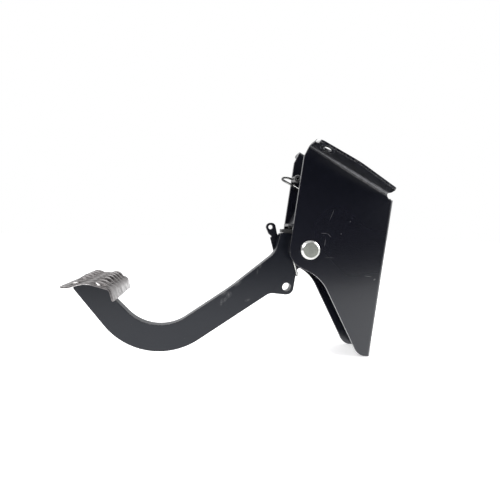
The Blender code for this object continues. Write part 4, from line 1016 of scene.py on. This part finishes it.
def touching_angle(point, centre, radius, side):
    """Angle of the line from a point that touches a circle on one side.

    It is the angle to the centre, plus or minus asin(radius / distance).
    """
    away = np.subtract(centre, point)
    turn = math.asin(radius / math.hypot(*away))
    return math.degrees(math.atan2(away[1], away[0]) + side * turn)


lip_end = np.array([PAD_BACK, PAD_BACK_Z]) + heading(LIP_SPLAY - 90) * LIP_HEIGHT
pad_line = rounded_line([
    (PAD_FRONT, PAD_FRONT_Z, 0), (PAD_FRONT + PAD_FRONT_FLAT, PAD_FRONT_Z, PAD_FRONT_RADIUS),
    ((PAD_FRONT + PAD_BACK) / 2, PAD_CROWN_Z, PAD_CROWN_RADIUS),
    (PAD_BACK, PAD_BACK_Z, LIP_FOLD_RADIUS), (*lip_end, 0)], closed=False, step=2.0)
seat = [(x, z - SEAT_GAP, 0) for x, z in pad_line if TOE[0] < x < HEEL[0]]
seat_back = np.interp(HEEL[0], pad_line[:, 0], pad_line[:, 1]) - SEAT_GAP
belly = (BELLY_X, BELLY_RADIUS - PIVOT_HEIGHT)
belly_corner = crossing(TOE, touching_angle(TOE, belly, BELLY_RADIUS, -1),
                        THROAT, touching_angle(THROAT, belly, BELLY_RADIUS, 1))
boss_start = math.degrees(math.asin(BOSS_TOP / BOSS_RADIUS))
boss_angles = np.linspace(boss_start, BOSS_END, 37)
arm_line = rounded_line([
    (*TOE, TOE_RADIUS), (TOE[0], PAD_FRONT_Z - SEAT_GAP, 0), *seat, (HEEL[0], seat_back, 0),
    (*HEEL, ARM_HEEL_RADIUS), BELLY_TOP, SADDLE, NECK, LEVEL_TOP,
    *[(*(heading(angle) * BOSS_RADIUS), 0) for angle in boss_angles], LOBE_ROOT,
    (ROD_HOLE[0] + LOBE_BACK, ROD_HOLE[1] - LOBE_DROP, ROD_HOLE_RADIUS + LOBE_WALL),
    (*THROAT, THROAT_RADIUS), (*belly_corner, BELLY_RADIUS)], step=3.0)
arm_holes = [((0, 0), HUB_RADIUS + SEAT_GAP), (ROD_HOLE, ROD_HOLE_RADIUS)]
arm_solid = plate_solid(arm_line, arm_holes, 0.0, ARM_THICKNESS, ARM_ROUNDING, 0.0)
arm_paint = black_paint(
    "satin_black_paint", (0.0064, 0.0078, 0.0128), (0.0084, 0.0098, 0.0156), 0.31, 0.25,
    scuffs=ARM_SCUFFS)
add_piece("plate_arm", "pedal_arm", "pedal", "arm_satin_black", arm_paint, *arm_solid)

# Stop bar
# A short flat bar of steel on the arm's level top, welded there so that its front end
# stands out a little; it meets the rubber stop when the pedal is up.

BLOCK_FRONT = -0.0231
BLOCK_BACK = BLOCK_FRONT + 0.0150
BLOCK_CORNER_RADIUS = 0.0006

block_low = BOSS_TOP + SEAT_GAP
block_high = block_low + BLOCK_THICKNESS
block_corners = ((BLOCK_FRONT, block_low), (BLOCK_BACK, block_low), (BLOCK_BACK, block_high),
                 (BLOCK_FRONT, block_high))
block_line = rounded_line([(*corner, BLOCK_CORNER_RADIUS) for corner in block_corners], step=20.0)
block_solid = plate_solid(block_line, (), 0.0, ARM_THICKNESS, SHEET_ROUNDING, 0.0)
block_paint = black_paint("stop_bar_paint", (0.05, 0.05, 0.052), (0.09, 0.09, 0.088), 0.40, 0.1)
add_piece("stop_bar", "stop_block", "pedal", "arm_satin_black", block_paint, *block_solid)

# Switch tab
# A strap of sheet with an eye for the brake light switch's spring, welded to the arm's far face.
# Its front edge has a small step where the blank was cut.

TAB_THICKNESS = 0.0025
TAB_EYE = np.array([-0.0321, 0.0205])
TAB_HOLE_RADIUS = 0.0021
TAB_EYE_REACH = 0.0043
TAB_ROOT = np.array([-0.0206, -0.0030])
TAB_ROOT_WIDTH = 0.0112
TAB_ROOT_HEIGHT = 0.0170
TAB_CORNER_RADIUS = 0.004
TAB_WAIST_RADIUS = 0.003
TAB_NOTCH = 0.0016
TAB_ROUNDING = 0.00025

tab_left, tab_low = TAB_ROOT - (TAB_ROOT_WIDTH / 2, TAB_ROOT_HEIGHT / 2)
tab_right, tab_high = TAB_ROOT + (TAB_ROOT_WIDTH / 2, TAB_ROOT_HEIGHT / 2)
tab_step = TAB_EYE[1] - TAB_EYE_REACH - 2 * TAB_NOTCH
tab_line = rounded_line([
    (*(TAB_EYE + TAB_EYE_REACH), TAB_EYE_REACH * 0.98),
    (tab_right - TAB_ROOT_WIDTH * 0.92, TAB_EYE[1] - 1.6 * TAB_EYE_REACH, TAB_WAIST_RADIUS),
    (tab_right, tab_high, TAB_CORNER_RADIUS), (tab_right, tab_low, TAB_CORNER_RADIUS),
    (tab_left, tab_low, TAB_CORNER_RADIUS),
    (TAB_EYE[0], tab_step - 2 * TAB_NOTCH, TAB_NOTCH / 2),
    (TAB_EYE[0] + TAB_NOTCH, tab_step - TAB_NOTCH, TAB_NOTCH / 2),
    (TAB_EYE[0] - TAB_NOTCH, tab_step + TAB_NOTCH / 2, TAB_NOTCH / 2),
    (TAB_EYE[0] - TAB_EYE_REACH, TAB_EYE[1] - 0.0008, 0),
    (TAB_EYE[0] - TAB_EYE_REACH, TAB_EYE[1] + TAB_EYE_REACH, TAB_EYE_REACH * 0.98)], step=10.0)
tab_middle = ARM_THICKNESS / 2 + SEAT_GAP + TAB_THICKNESS / 2
tab_solid = plate_solid(tab_line, [(TAB_EYE, TAB_HOLE_RADIUS)], tab_middle, TAB_THICKNESS,
                        TAB_ROUNDING)
tab_paint = black_paint("tab_paint", (0.006, 0.0065, 0.010), (0.010, 0.0105, 0.015), 0.30, 0.4)
add_piece("switch_strap", "switch_tab", "pedal", "bracket_black", tab_paint, *tab_solid)

# Foot pad
# Bare steel sheet, pressed in a die: seven rows of two grip ridges each, a curved tread and a
# lip turned down at the back. It is welded on the arm's end and left unpainted.

PAD_SHEET = 0.0018
PAD_WIDTH = 0.058
PAD_CORNER_RADIUS = 0.0012
RIDGE_ROWS = 7
RIDGE_PITCH = 0.0078
RIDGE_WIDTH = 0.0072
RIDGE_HEIGHT = 0.0043
RIDGE_SADDLE = 0.0008
RIDGE_LENGTH = 0.0182
RIDGE_RAMP = 0.0086
RIDGE_FIRST = 0.0136
RIDGE_SPACING = 0.0197
NEAR_ROW_WEAR = 0.50
LIP_TURN = LIP_HEIGHT * 0.6
LIP_WAVE = 0.00010
PAD_ROUNDING = 0.0004
PAD_POINTS_ALONG = 131
PAD_POINTS_ACROSS = 197
HUMP_MARGIN = 0.0005
HUMP_FADE = 0.003
# Spots of painted highlight on the nearest ridges, each a scratch: place, angle, length and width.
PAD_PAINTED_HIGHLIGHTS = (
    ((-0.2082, -0.0302), 10, 0.0080, 0.0015), ((-0.1882, -0.0311), -26, 0.0066, 0.0008),
    ((-0.2050, -0.0322), 20, 0.0150, 0.0016), ((-0.1975, -0.0308), -4, 0.0110, 0.0011))
HIGHLIGHT_FROM = -0.0190
HIGHLIGHT_FULL = -0.0225
ROLLED_GRAIN = (0.38, 0.365, 0.365)
DULL_TREAD = (0.062, 0.057, 0.057)
# Pale colour of a painted sheen on the lip, brighter towards the lip's far end.
PAINTED_LIP_SHEEN = (0.76, 0.755, 0.755)
LOW_SPOT = (0.06, 0.053, 0.052)
WORN_CREST = (0.52, 0.505, 0.505)
# Near black between the ridges: painted shade in the grooves.
GROOVE_PAINTED_SHADE = (0.008, 0.007, 0.007)
# Near white of the painted highlights on the nearest ridges.
PAINTED_HIGHLIGHT_WHITE = (0.97, 0.94, 0.94)


def smooth_rise(value):
    """0 below 0, 1 above 1, and 3 v squared - 2 v cubed between."""
    value = np.clip(value, 0, 1)
    return value * value * (3 - 2 * value)


def nearest_row(across):
    """Number of the ridge row nearest to each place across the pad, 0 in the middle."""
    return np.clip(np.round(across / RIDGE_PITCH), -(RIDGE_ROWS // 2), RIDGE_ROWS // 2)


def hump_gap(along):
    """Distance along the tread to the middle of the nearer of a row's two humps."""
    return np.minimum(np.abs(along - RIDGE_FIRST), np.abs(along - (RIDGE_FIRST + RIDGE_SPACING)))


def ridge_rise(along, across):
    """Height of the grip ridges: half a cosine across each row, times a smooth rise at each end.

    Between its two humps a ridge sinks to the saddle's height. The nearest rows are worn lower.
    """
    row = nearest_row(across)
    worn_by = NEAR_ROW_WEAR * smooth_rise(-row / (RIDGE_ROWS // 2))
    off = np.abs(across - row * RIDGE_PITCH) / (RIDGE_WIDTH / 2)
    height = RIDGE_HEIGHT * smooth_rise((RIDGE_LENGTH / 2 - hump_gap(along)) / RIDGE_RAMP)
    between = (along > RIDGE_FIRST) & (along < RIDGE_FIRST + RIDGE_SPACING)
    height = np.where(between, np.maximum(height, RIDGE_SADDLE), height)
    return np.where(off < 1, height * (1 - worn_by) * 0.5 * (1 + np.cos(math.pi * off)), 0)


pad_gaps = np.linalg.norm(np.diff(pad_line, axis=0), axis=1)
pad_far = np.concatenate([[0], np.cumsum(pad_gaps)])
pad_rim = PAD_ROUNDING + HOLD
pad_across = np.linspace(-1, 1, PAD_POINTS_ACROSS) * (PAD_WIDTH / 2 - pad_rim)
corner = np.maximum(0, PAD_CORNER_RADIUS - (PAD_WIDTH / 2 - pad_rim - np.abs(pad_across)))
corner_in = pad_rim + PAD_CORNER_RADIUS - np.sqrt(PAD_CORNER_RADIUS ** 2 - corner ** 2)
pad_run = np.linspace(0, 1, PAD_POINTS_ALONG)[:, None]
pad_along = corner_in + pad_run * (pad_far[-1] - 2 * corner_in)
pad_wide = np.broadcast_to(pad_across, pad_along.shape)
pad_x, pad_z = (np.interp(pad_along, pad_far, pad_line[:, axis]) for axis in (0, 1))
slope = np.gradient(pad_line, pad_far, axis=0)
slope_x, slope_z = (np.interp(pad_along, pad_far, slope[:, axis]) for axis in (0, 1))
lip_start = pad_far[-1] - LIP_HEIGHT
lip_part = smooth_rise((pad_along - lip_start) / LIP_TURN)
lip_wave = LIP_WAVE * lip_part * (np.cos(2 * math.pi * pad_wide / RIDGE_PITCH) - 1)
pad_lift = ridge_rise(pad_along, pad_wide) + PAD_SHEET / 2 + lip_wave
pad_grid = np.stack([pad_x - slope_z * pad_lift, pad_wide, pad_z + slope_x * pad_lift], axis=-1)
pad_normals = np.cross(np.gradient(pad_grid, axis=1), np.gradient(pad_grid, axis=0))
pad_normals /= np.linalg.norm(pad_normals, axis=-1, keepdims=True)
pad_normals *= np.sign(pad_normals[0, PAD_POINTS_ACROSS // 2, 2])
pad_rows = np.arange(pad_grid[..., 0].size).reshape(pad_grid.shape[:2])
pad_solid = sheet_solid(pad_grid.reshape(-1, 3), pad_normals.reshape(-1, 3), band(pad_rows),
                        PAD_SHEET, PAD_ROUNDING)
row_off = np.abs(pad_wide - nearest_row(pad_wide) * RIDGE_PITCH) / RIDGE_WIDTH
hump_near = smooth_rise((RIDGE_LENGTH / 2 + HUMP_MARGIN - hump_gap(pad_along)) / HUMP_FADE)
# Where the painted shade between the ridges lies.
groove_shade_mask = hump_near * smooth_rise((row_off - 0.28) / 0.20)
crest_wear = hump_near * smooth_rise((0.16 - row_off) / 0.16)


def pressed_steel(name, light, dark):
    """Bare steel, dull in its ridged zone and worn on the ridges' crests, with painted shade
    between the ridges and a painted sheen on its lip.

    The pad's marks say where: painted shade in the grooves, wear on the crests, zone round the
    humps and lip. The lip's painted sheen is brighter towards its far end, and painted highlights,
    with a little less roughness, lie on the nearest ridges.
    """
    finish, shader, place = new_finish(name, Metallic=0.92)
    grain = noise(turned_place(place, scale=(260.0, 1600.0, 900.0)), 1.0, 4.0)
    cloud = graded(noise(place, 170.0, 5.0), 0.35, 0.68)
    low_spots = graded(noise(place, 480.0, 5.0), 0.55, 0.72)
    across = add_node("SeparateXYZ", {"Vector": place}).outputs["Y"]
    # The lip's painted sheen grows brighter towards its far end, in patches.
    sheen_grows = graded(across, -PAD_WIDTH / 2, PAD_WIDTH / 2, 0.16, 0.95)
    sheen_patches = graded(noise(place, 110.0, 3.0), 0.42, 0.58, 0.45, 1.0)
    lip = worked("MULTIPLY", mark_of(place, "lip"), sheen_patches)
    wear = mark_of(place, "wear")
    # Painted highlights on the nearest ridges, which also lower the roughness a little.
    spots = [scratch_at(place, *spot, soft=0.9) for spot in PAD_PAINTED_HIGHLIGHTS]
    painted_highlight = worked("MULTIPLY", worked("MAXIMUM", *spots), graded(across, HIGHLIGHT_FROM, HIGHLIGHT_FULL))
    colour = mixed(cloud, light, dark)
    colour = laid_on(colour, ROLLED_GRAIN, graded(grain, 0.45, 0.75), 0.5)
    colour = laid_on(colour, DULL_TREAD, mark_of(place, "zone"), 0.85)
    # Painted sheen on the lip.
    colour = laid_on(colour, PAINTED_LIP_SHEEN, lip, sheen_grows)
    colour = laid_on(colour, LOW_SPOT, low_spots, 0.6)
    colour = laid_on(colour, WORN_CREST, wear, 0.42)
    # Painted shade in the grooves between the ridges.
    colour = laid_on(colour, GROOVE_PAINTED_SHADE, mark_of(place, "dirt"), 0.95)
    colour = mixed(painted_highlight, colour, PAINTED_HIGHLIGHT_WHITE)
    rough = worked("SUBTRACT", graded(cloud, 0, 1, 0.28, 0.46),
                   worked("MULTIPLY", wear, 0.08), worked("MULTIPLY", painted_highlight, 0.06))
    give_surface(shader, colour, worked("ADD", grain, cloud), 0.00005, rough)
    return finish


pad_steel = pressed_steel("bare_pressed_steel", (0.26, 0.245, 0.245), (0.16, 0.15, 0.15))
pad = add_piece("pressed_pad", "foot_pad", "pedal", "bare_pad_steel", pad_steel, *pad_solid)
# Marks on the pad's upper face: painted shade in the grooves, crest wear, the lip, which carries a
# painted sheen, and the ridged zone.
for name, upper in (("dirt", groove_shade_mask), ("wear", crest_wear), ("lip", lip_part),
                    ("zone", hump_near)):
    values = np.zeros(len(pad_solid[0]))
    values[:upper.size] = upper.ravel()
    pad.data.attributes.new(name, "FLOAT", "POINT").data.foreach_set("value", values)

# Return spring
# A torsion spring of bright wire coiled round the hub tube. One leg crosses the arm's lower edge
# and hooks over it, the other lies against the web and holds still.

SPRING_WIRE_RADIUS = 0.00095
SPRING_SLACK = 0.00045
SPRING_COIL_RADIUS = HUB_RADIUS + SPRING_SLACK + SPRING_WIRE_RADIUS
SPRING_PITCH = 0.0021
SPRING_START = 196.0
SPRING_END = 30.0
SPRING_SWEEP = SPRING_START - SPRING_END + 720.0
SPRING_LEG = 0.0228
SPRING_HOOK = 0.0080
SPRING_FOOT = 0.0080
SPRING_BEND = 0.0018
SPRING_STEPS = 140


def bent(before, corner, after, radius):
    """Rounded corner of a wire's route: the quadratic curve s (1-t)^2 + 2 c t (1-t) + e t^2."""
    before, corner, after = (np.asarray(point, float) for point in (before, corner, after))
    start = corner + (before - corner) / np.linalg.norm(before - corner) * radius
    end = corner + (after - corner) / np.linalg.norm(after - corner) * radius
    t = np.linspace(0, 1, 9)[:, None]
    return start * (1 - t) ** 2 + corner * 2 * t * (1 - t) + end * t ** 2


near_arm = -(ARM_THICKNESS / 2 + SEAT_GAP + SPRING_WIRE_RADIUS)
coil_start = heading(SPRING_START) * SPRING_COIL_RADIUS
leg_tip = coil_start - heading(SPRING_START - 90) * SPRING_LEG
hook = np.array([leg_tip[0], near_arm + SPRING_HOOK, leg_tip[1]])
leg_corner = np.array([leg_tip[0], near_arm, leg_tip[1]])
coil_angles = np.radians(np.linspace(SPRING_START, SPRING_START - SPRING_SWEEP, SPRING_STEPS))
coil_round = directions(coil_angles) * SPRING_COIL_RADIUS
coil_out = near_arm - np.linspace(0, SPRING_SWEEP / 360 * SPRING_PITCH, SPRING_STEPS)
coil = np.stack([coil_round[:, 0], coil_out, coil_round[:, 1]], axis=1)
web_gap = (SHEET + SEAT_GAP + SPRING_WIRE_RADIUS) / math.cos(math.radians(BACK_LEAN))
knee_flat = crossing(coil[-1, [0, 2]], SPRING_END - 90, (BACK_REACH - web_gap, 0), BACK_UP)
knee = np.array([knee_flat[0], coil[-1, 1], knee_flat[1]])
foot = knee - np.array([web_up[0], 0, web_up[1]]) * SPRING_FOOT
spring_path = np.vstack([hook, bent(hook, leg_corner, coil[0], SPRING_BEND), coil,
                         bent(coil[-1], knee, foot, SPRING_BEND), foot])
spring_steel = bright_steel("spring_wire_steel", (0.70, 0.70, 0.68), (0.50, 0.50, 0.48))
spring = add_piece("torsion_spring", "return_spring", None, "bright_wire", spring_steel,
                   *wire_solid(spring_path, SPRING_WIRE_RADIUS))
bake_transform(spring)

# Studio
# A plain white floor and background, soft light from above, the upper left front and the right,
# and the photograph's camera: level with the bracket's middle, a little left of the pivot.
# The floor lies low enough for the pressed arm, and a scrap of the same paper under the
# bracket's foot takes its contact shadow.

FLOOR_REACH = 4.0
FLOOR_FRONT = 0.554
FLOOR_DROP = 0.045
FLOOR_GLOW = 0.70
CONTACT_GLOW = 0.44
MIRROR_GLOW = 0.44
GLOW_GROWS_FROM = 0.45
GLOW_FULL_AT = 1.1
PAPER_Y = 0.004
PAPER_REACH = np.array([0.045, 0.050, 1.0])
PAPER_DROP = 0.0001


def white_paper(name, glow, cover=None):
    """White paper that glows a little to the camera and in mirrored light, and fully far away.

    A cover, the centre and half sizes of an oval, makes it clear outside that oval, and clear to
    all but the camera.
    """
    finish = bpy.data.materials.new(name)
    finish.use_nodes = True
    tree = finish.node_tree
    tree.nodes.remove(tree.nodes["Principled BSDF"])
    place = add_node("TexCoord", {}, tree).outputs["Object"]
    paper = mixed(noise(place, 12.0), (0.84, 0.84, 0.84), (0.87, 0.87, 0.87))
    lit = add_node("BsdfDiffuse", {"Color": paper})
    distance = far_from(place)
    rays = add_node("LightPath", {}, tree).outputs
    seen = rays["Is Camera Ray"]
    mirror = worked("MAXIMUM", rays["Is Glossy Ray"], rays["Is Transmission Ray"])
    glows = [worked("MULTIPLY", ray, graded(distance, GLOW_GROWS_FROM, GLOW_FULL_AT, near, 1.0))
             for ray, near in ((mirror, MIRROR_GLOW), (seen, glow))]
    glowing = add_node("Emission", {"Strength": worked("MAXIMUM", *glows)})
    both = add_node("AddShader", {0: lit.outputs[0], 1: glowing.outputs[0]})
    if cover:
        reach = far_from(place, at=cover[0], scale=1 / cover[1])
        solid = worked("MULTIPLY", graded(reach, 1.0, 0.6), seen)
        clear = add_node("BsdfTransparent", {}, tree)
        both = add_node("MixShader", {0: solid, 1: clear.outputs[0], 2: both.outputs[0]})
    tree.links.new(both.outputs[0], tree.nodes["Material Output"].inputs["Surface"])
    return finish


def add_stage(name, low, high, height, finish):
    """Level rectangle of the studio, between two corners in X and Y."""
    mesh = bpy.data.meshes.new(name)
    corners = [(low[0], low[1], height), (high[0], low[1], height),
               (high[0], high[1], height), (low[0], high[1], height)]
    mesh.from_pydata(corners, [], [(0, 1, 2, 3)])
    mesh.materials.append(finish)
    level = bpy.data.objects.new(name, mesh)
    bpy.context.scene.collection.objects.link(level)


add_stage("studio_floor", (-FLOOR_REACH, -FLOOR_FRONT), (FLOOR_REACH, FLOOR_REACH), -FLOOR_DROP,
          white_paper("studio_white", FLOOR_GLOW))
foot_middle = np.array([pivot[0] + (foot_front + web_base[0]) / 2, PAPER_Y, 0.0])
add_stage("foot_paper", foot_middle - PAPER_REACH, foot_middle + PAPER_REACH, -PAPER_DROP,
          white_paper("foot_white", CONTACT_GLOW, (foot_middle, PAPER_REACH)))

WHITE = (1.0, 1.0, 1.0)
PALE_ROOM = (0.45, 0.45, 0.46)
DARK_ROOM = (0.035, 0.037, 0.050)
LOW_WINDOW = (0.130, 0.130, 0.175)
world = bpy.data.worlds.new("studio_world")
bpy.context.scene.world = world
world.use_nodes = True
tree = world.node_tree
sky = add_node("TexCoord", {}, tree).outputs["Generated"]
way = add_node("SeparateXYZ", {"Vector": sky}).outputs
behind_camera = graded(way["Y"], 0.05, -0.50)
surround = mixed(behind_camera, PALE_ROOM, DARK_ROOM)
window = worked("MULTIPLY", graded(way["X"], 0.22, 0.30),
                graded(way["X"], 0.46, 0.34), graded(way["Z"], 0.16, 0.0))
mirrored = mixed(behind_camera, WHITE, mixed(window, DARK_ROOM, LOW_WINDOW))
rays = add_node("LightPath", {}, tree).outputs
backdrop = mixed(rays["Is Glossy Ray"], surround, mirrored)
backdrop = mixed(rays["Is Camera Ray"], backdrop, WHITE)
tree.links.new(backdrop, tree.nodes["Background"].inputs["Color"])
tree.nodes["Background"].inputs["Strength"].default_value = 1.0


def looking(place, ahead):
    """Matrix of a level camera or lamp at a place that looks along ahead: right, up, and -ahead."""
    ahead = np.asarray(ahead, float) / np.linalg.norm(ahead)
    right = np.cross(ahead, (0, 0, 1))
    right /= np.linalg.norm(right)
    columns = np.eye(4)
    columns[:3, 0], columns[:3, 1], columns[:3, 2] = right, np.cross(right, ahead), -ahead
    columns[:3, 3] = place
    return Matrix(columns.tolist())


def add_softbox(name, place, target, width, height, power):
    """Rectangular lamp at a place, turned to face its target."""
    lamp = bpy.data.lights.new(name, "AREA")
    lamp.shape = "RECTANGLE"
    lamp.size, lamp.size_y, lamp.energy = width, height, power
    box = bpy.data.objects.new(name, lamp)
    bpy.context.scene.collection.objects.link(box)
    box.matrix_world = looking(place, np.subtract(target, place))


add_softbox("upper_left_softbox", place=(-0.75, -0.55, 0.85), target=(0, 0, 0.08),
            width=0.7, height=0.5, power=7.0)
add_softbox("right_softbox", place=(0.95, -0.15, 0.45), target=(0, 0, 0.06),
            width=0.6, height=0.5, power=6.0)
add_softbox("top_softbox", place=(0.0, 0.10, 1.20), target=(0, 0, 0.05),
            width=1.2, height=0.9, power=9.0)

FOCAL = 280.0
CENTRE = (212.0, 235.0)
VANISHING = (201.0, 226.5)
PHOTO_SIZE = 500.0
SENSOR = 36.0
ROLL = 0.99
CAMERA_FROM_PIVOT = (-0.1006, -0.2692, 0.0199)
pitch = math.atan((CENTRE[1] - VANISHING[1]) / FOCAL)
yaw = math.atan((CENTRE[0] - VANISHING[0]) / FOCAL * math.cos(pitch))
ahead = np.array([math.sin(yaw) * math.cos(pitch), math.cos(yaw) * math.cos(pitch),
                  -math.sin(pitch)])
camera_data = bpy.data.cameras.new("photo_camera")
camera_data.sensor_width = SENSOR
camera_data.lens = FOCAL / PHOTO_SIZE * SENSOR
camera_data.shift_x = (PHOTO_SIZE / 2 - CENTRE[0]) / PHOTO_SIZE
camera_data.shift_y = (CENTRE[1] - PHOTO_SIZE / 2) / PHOTO_SIZE
camera_data.clip_start = 0.01
camera = bpy.data.objects.new("photo_camera", camera_data)
bpy.context.scene.collection.objects.link(camera)
tilt = Matrix.Rotation(math.radians(-ROLL), 4, "Y")
stand = Matrix.Translation(pivot + CAMERA_FROM_PIVOT)
camera.matrix_world = stand @ tilt @ looking((0, 0, 0), ahead)
bpy.context.scene.camera = camera
bpy.context.scene.view_settings.view_transform = "Standard"
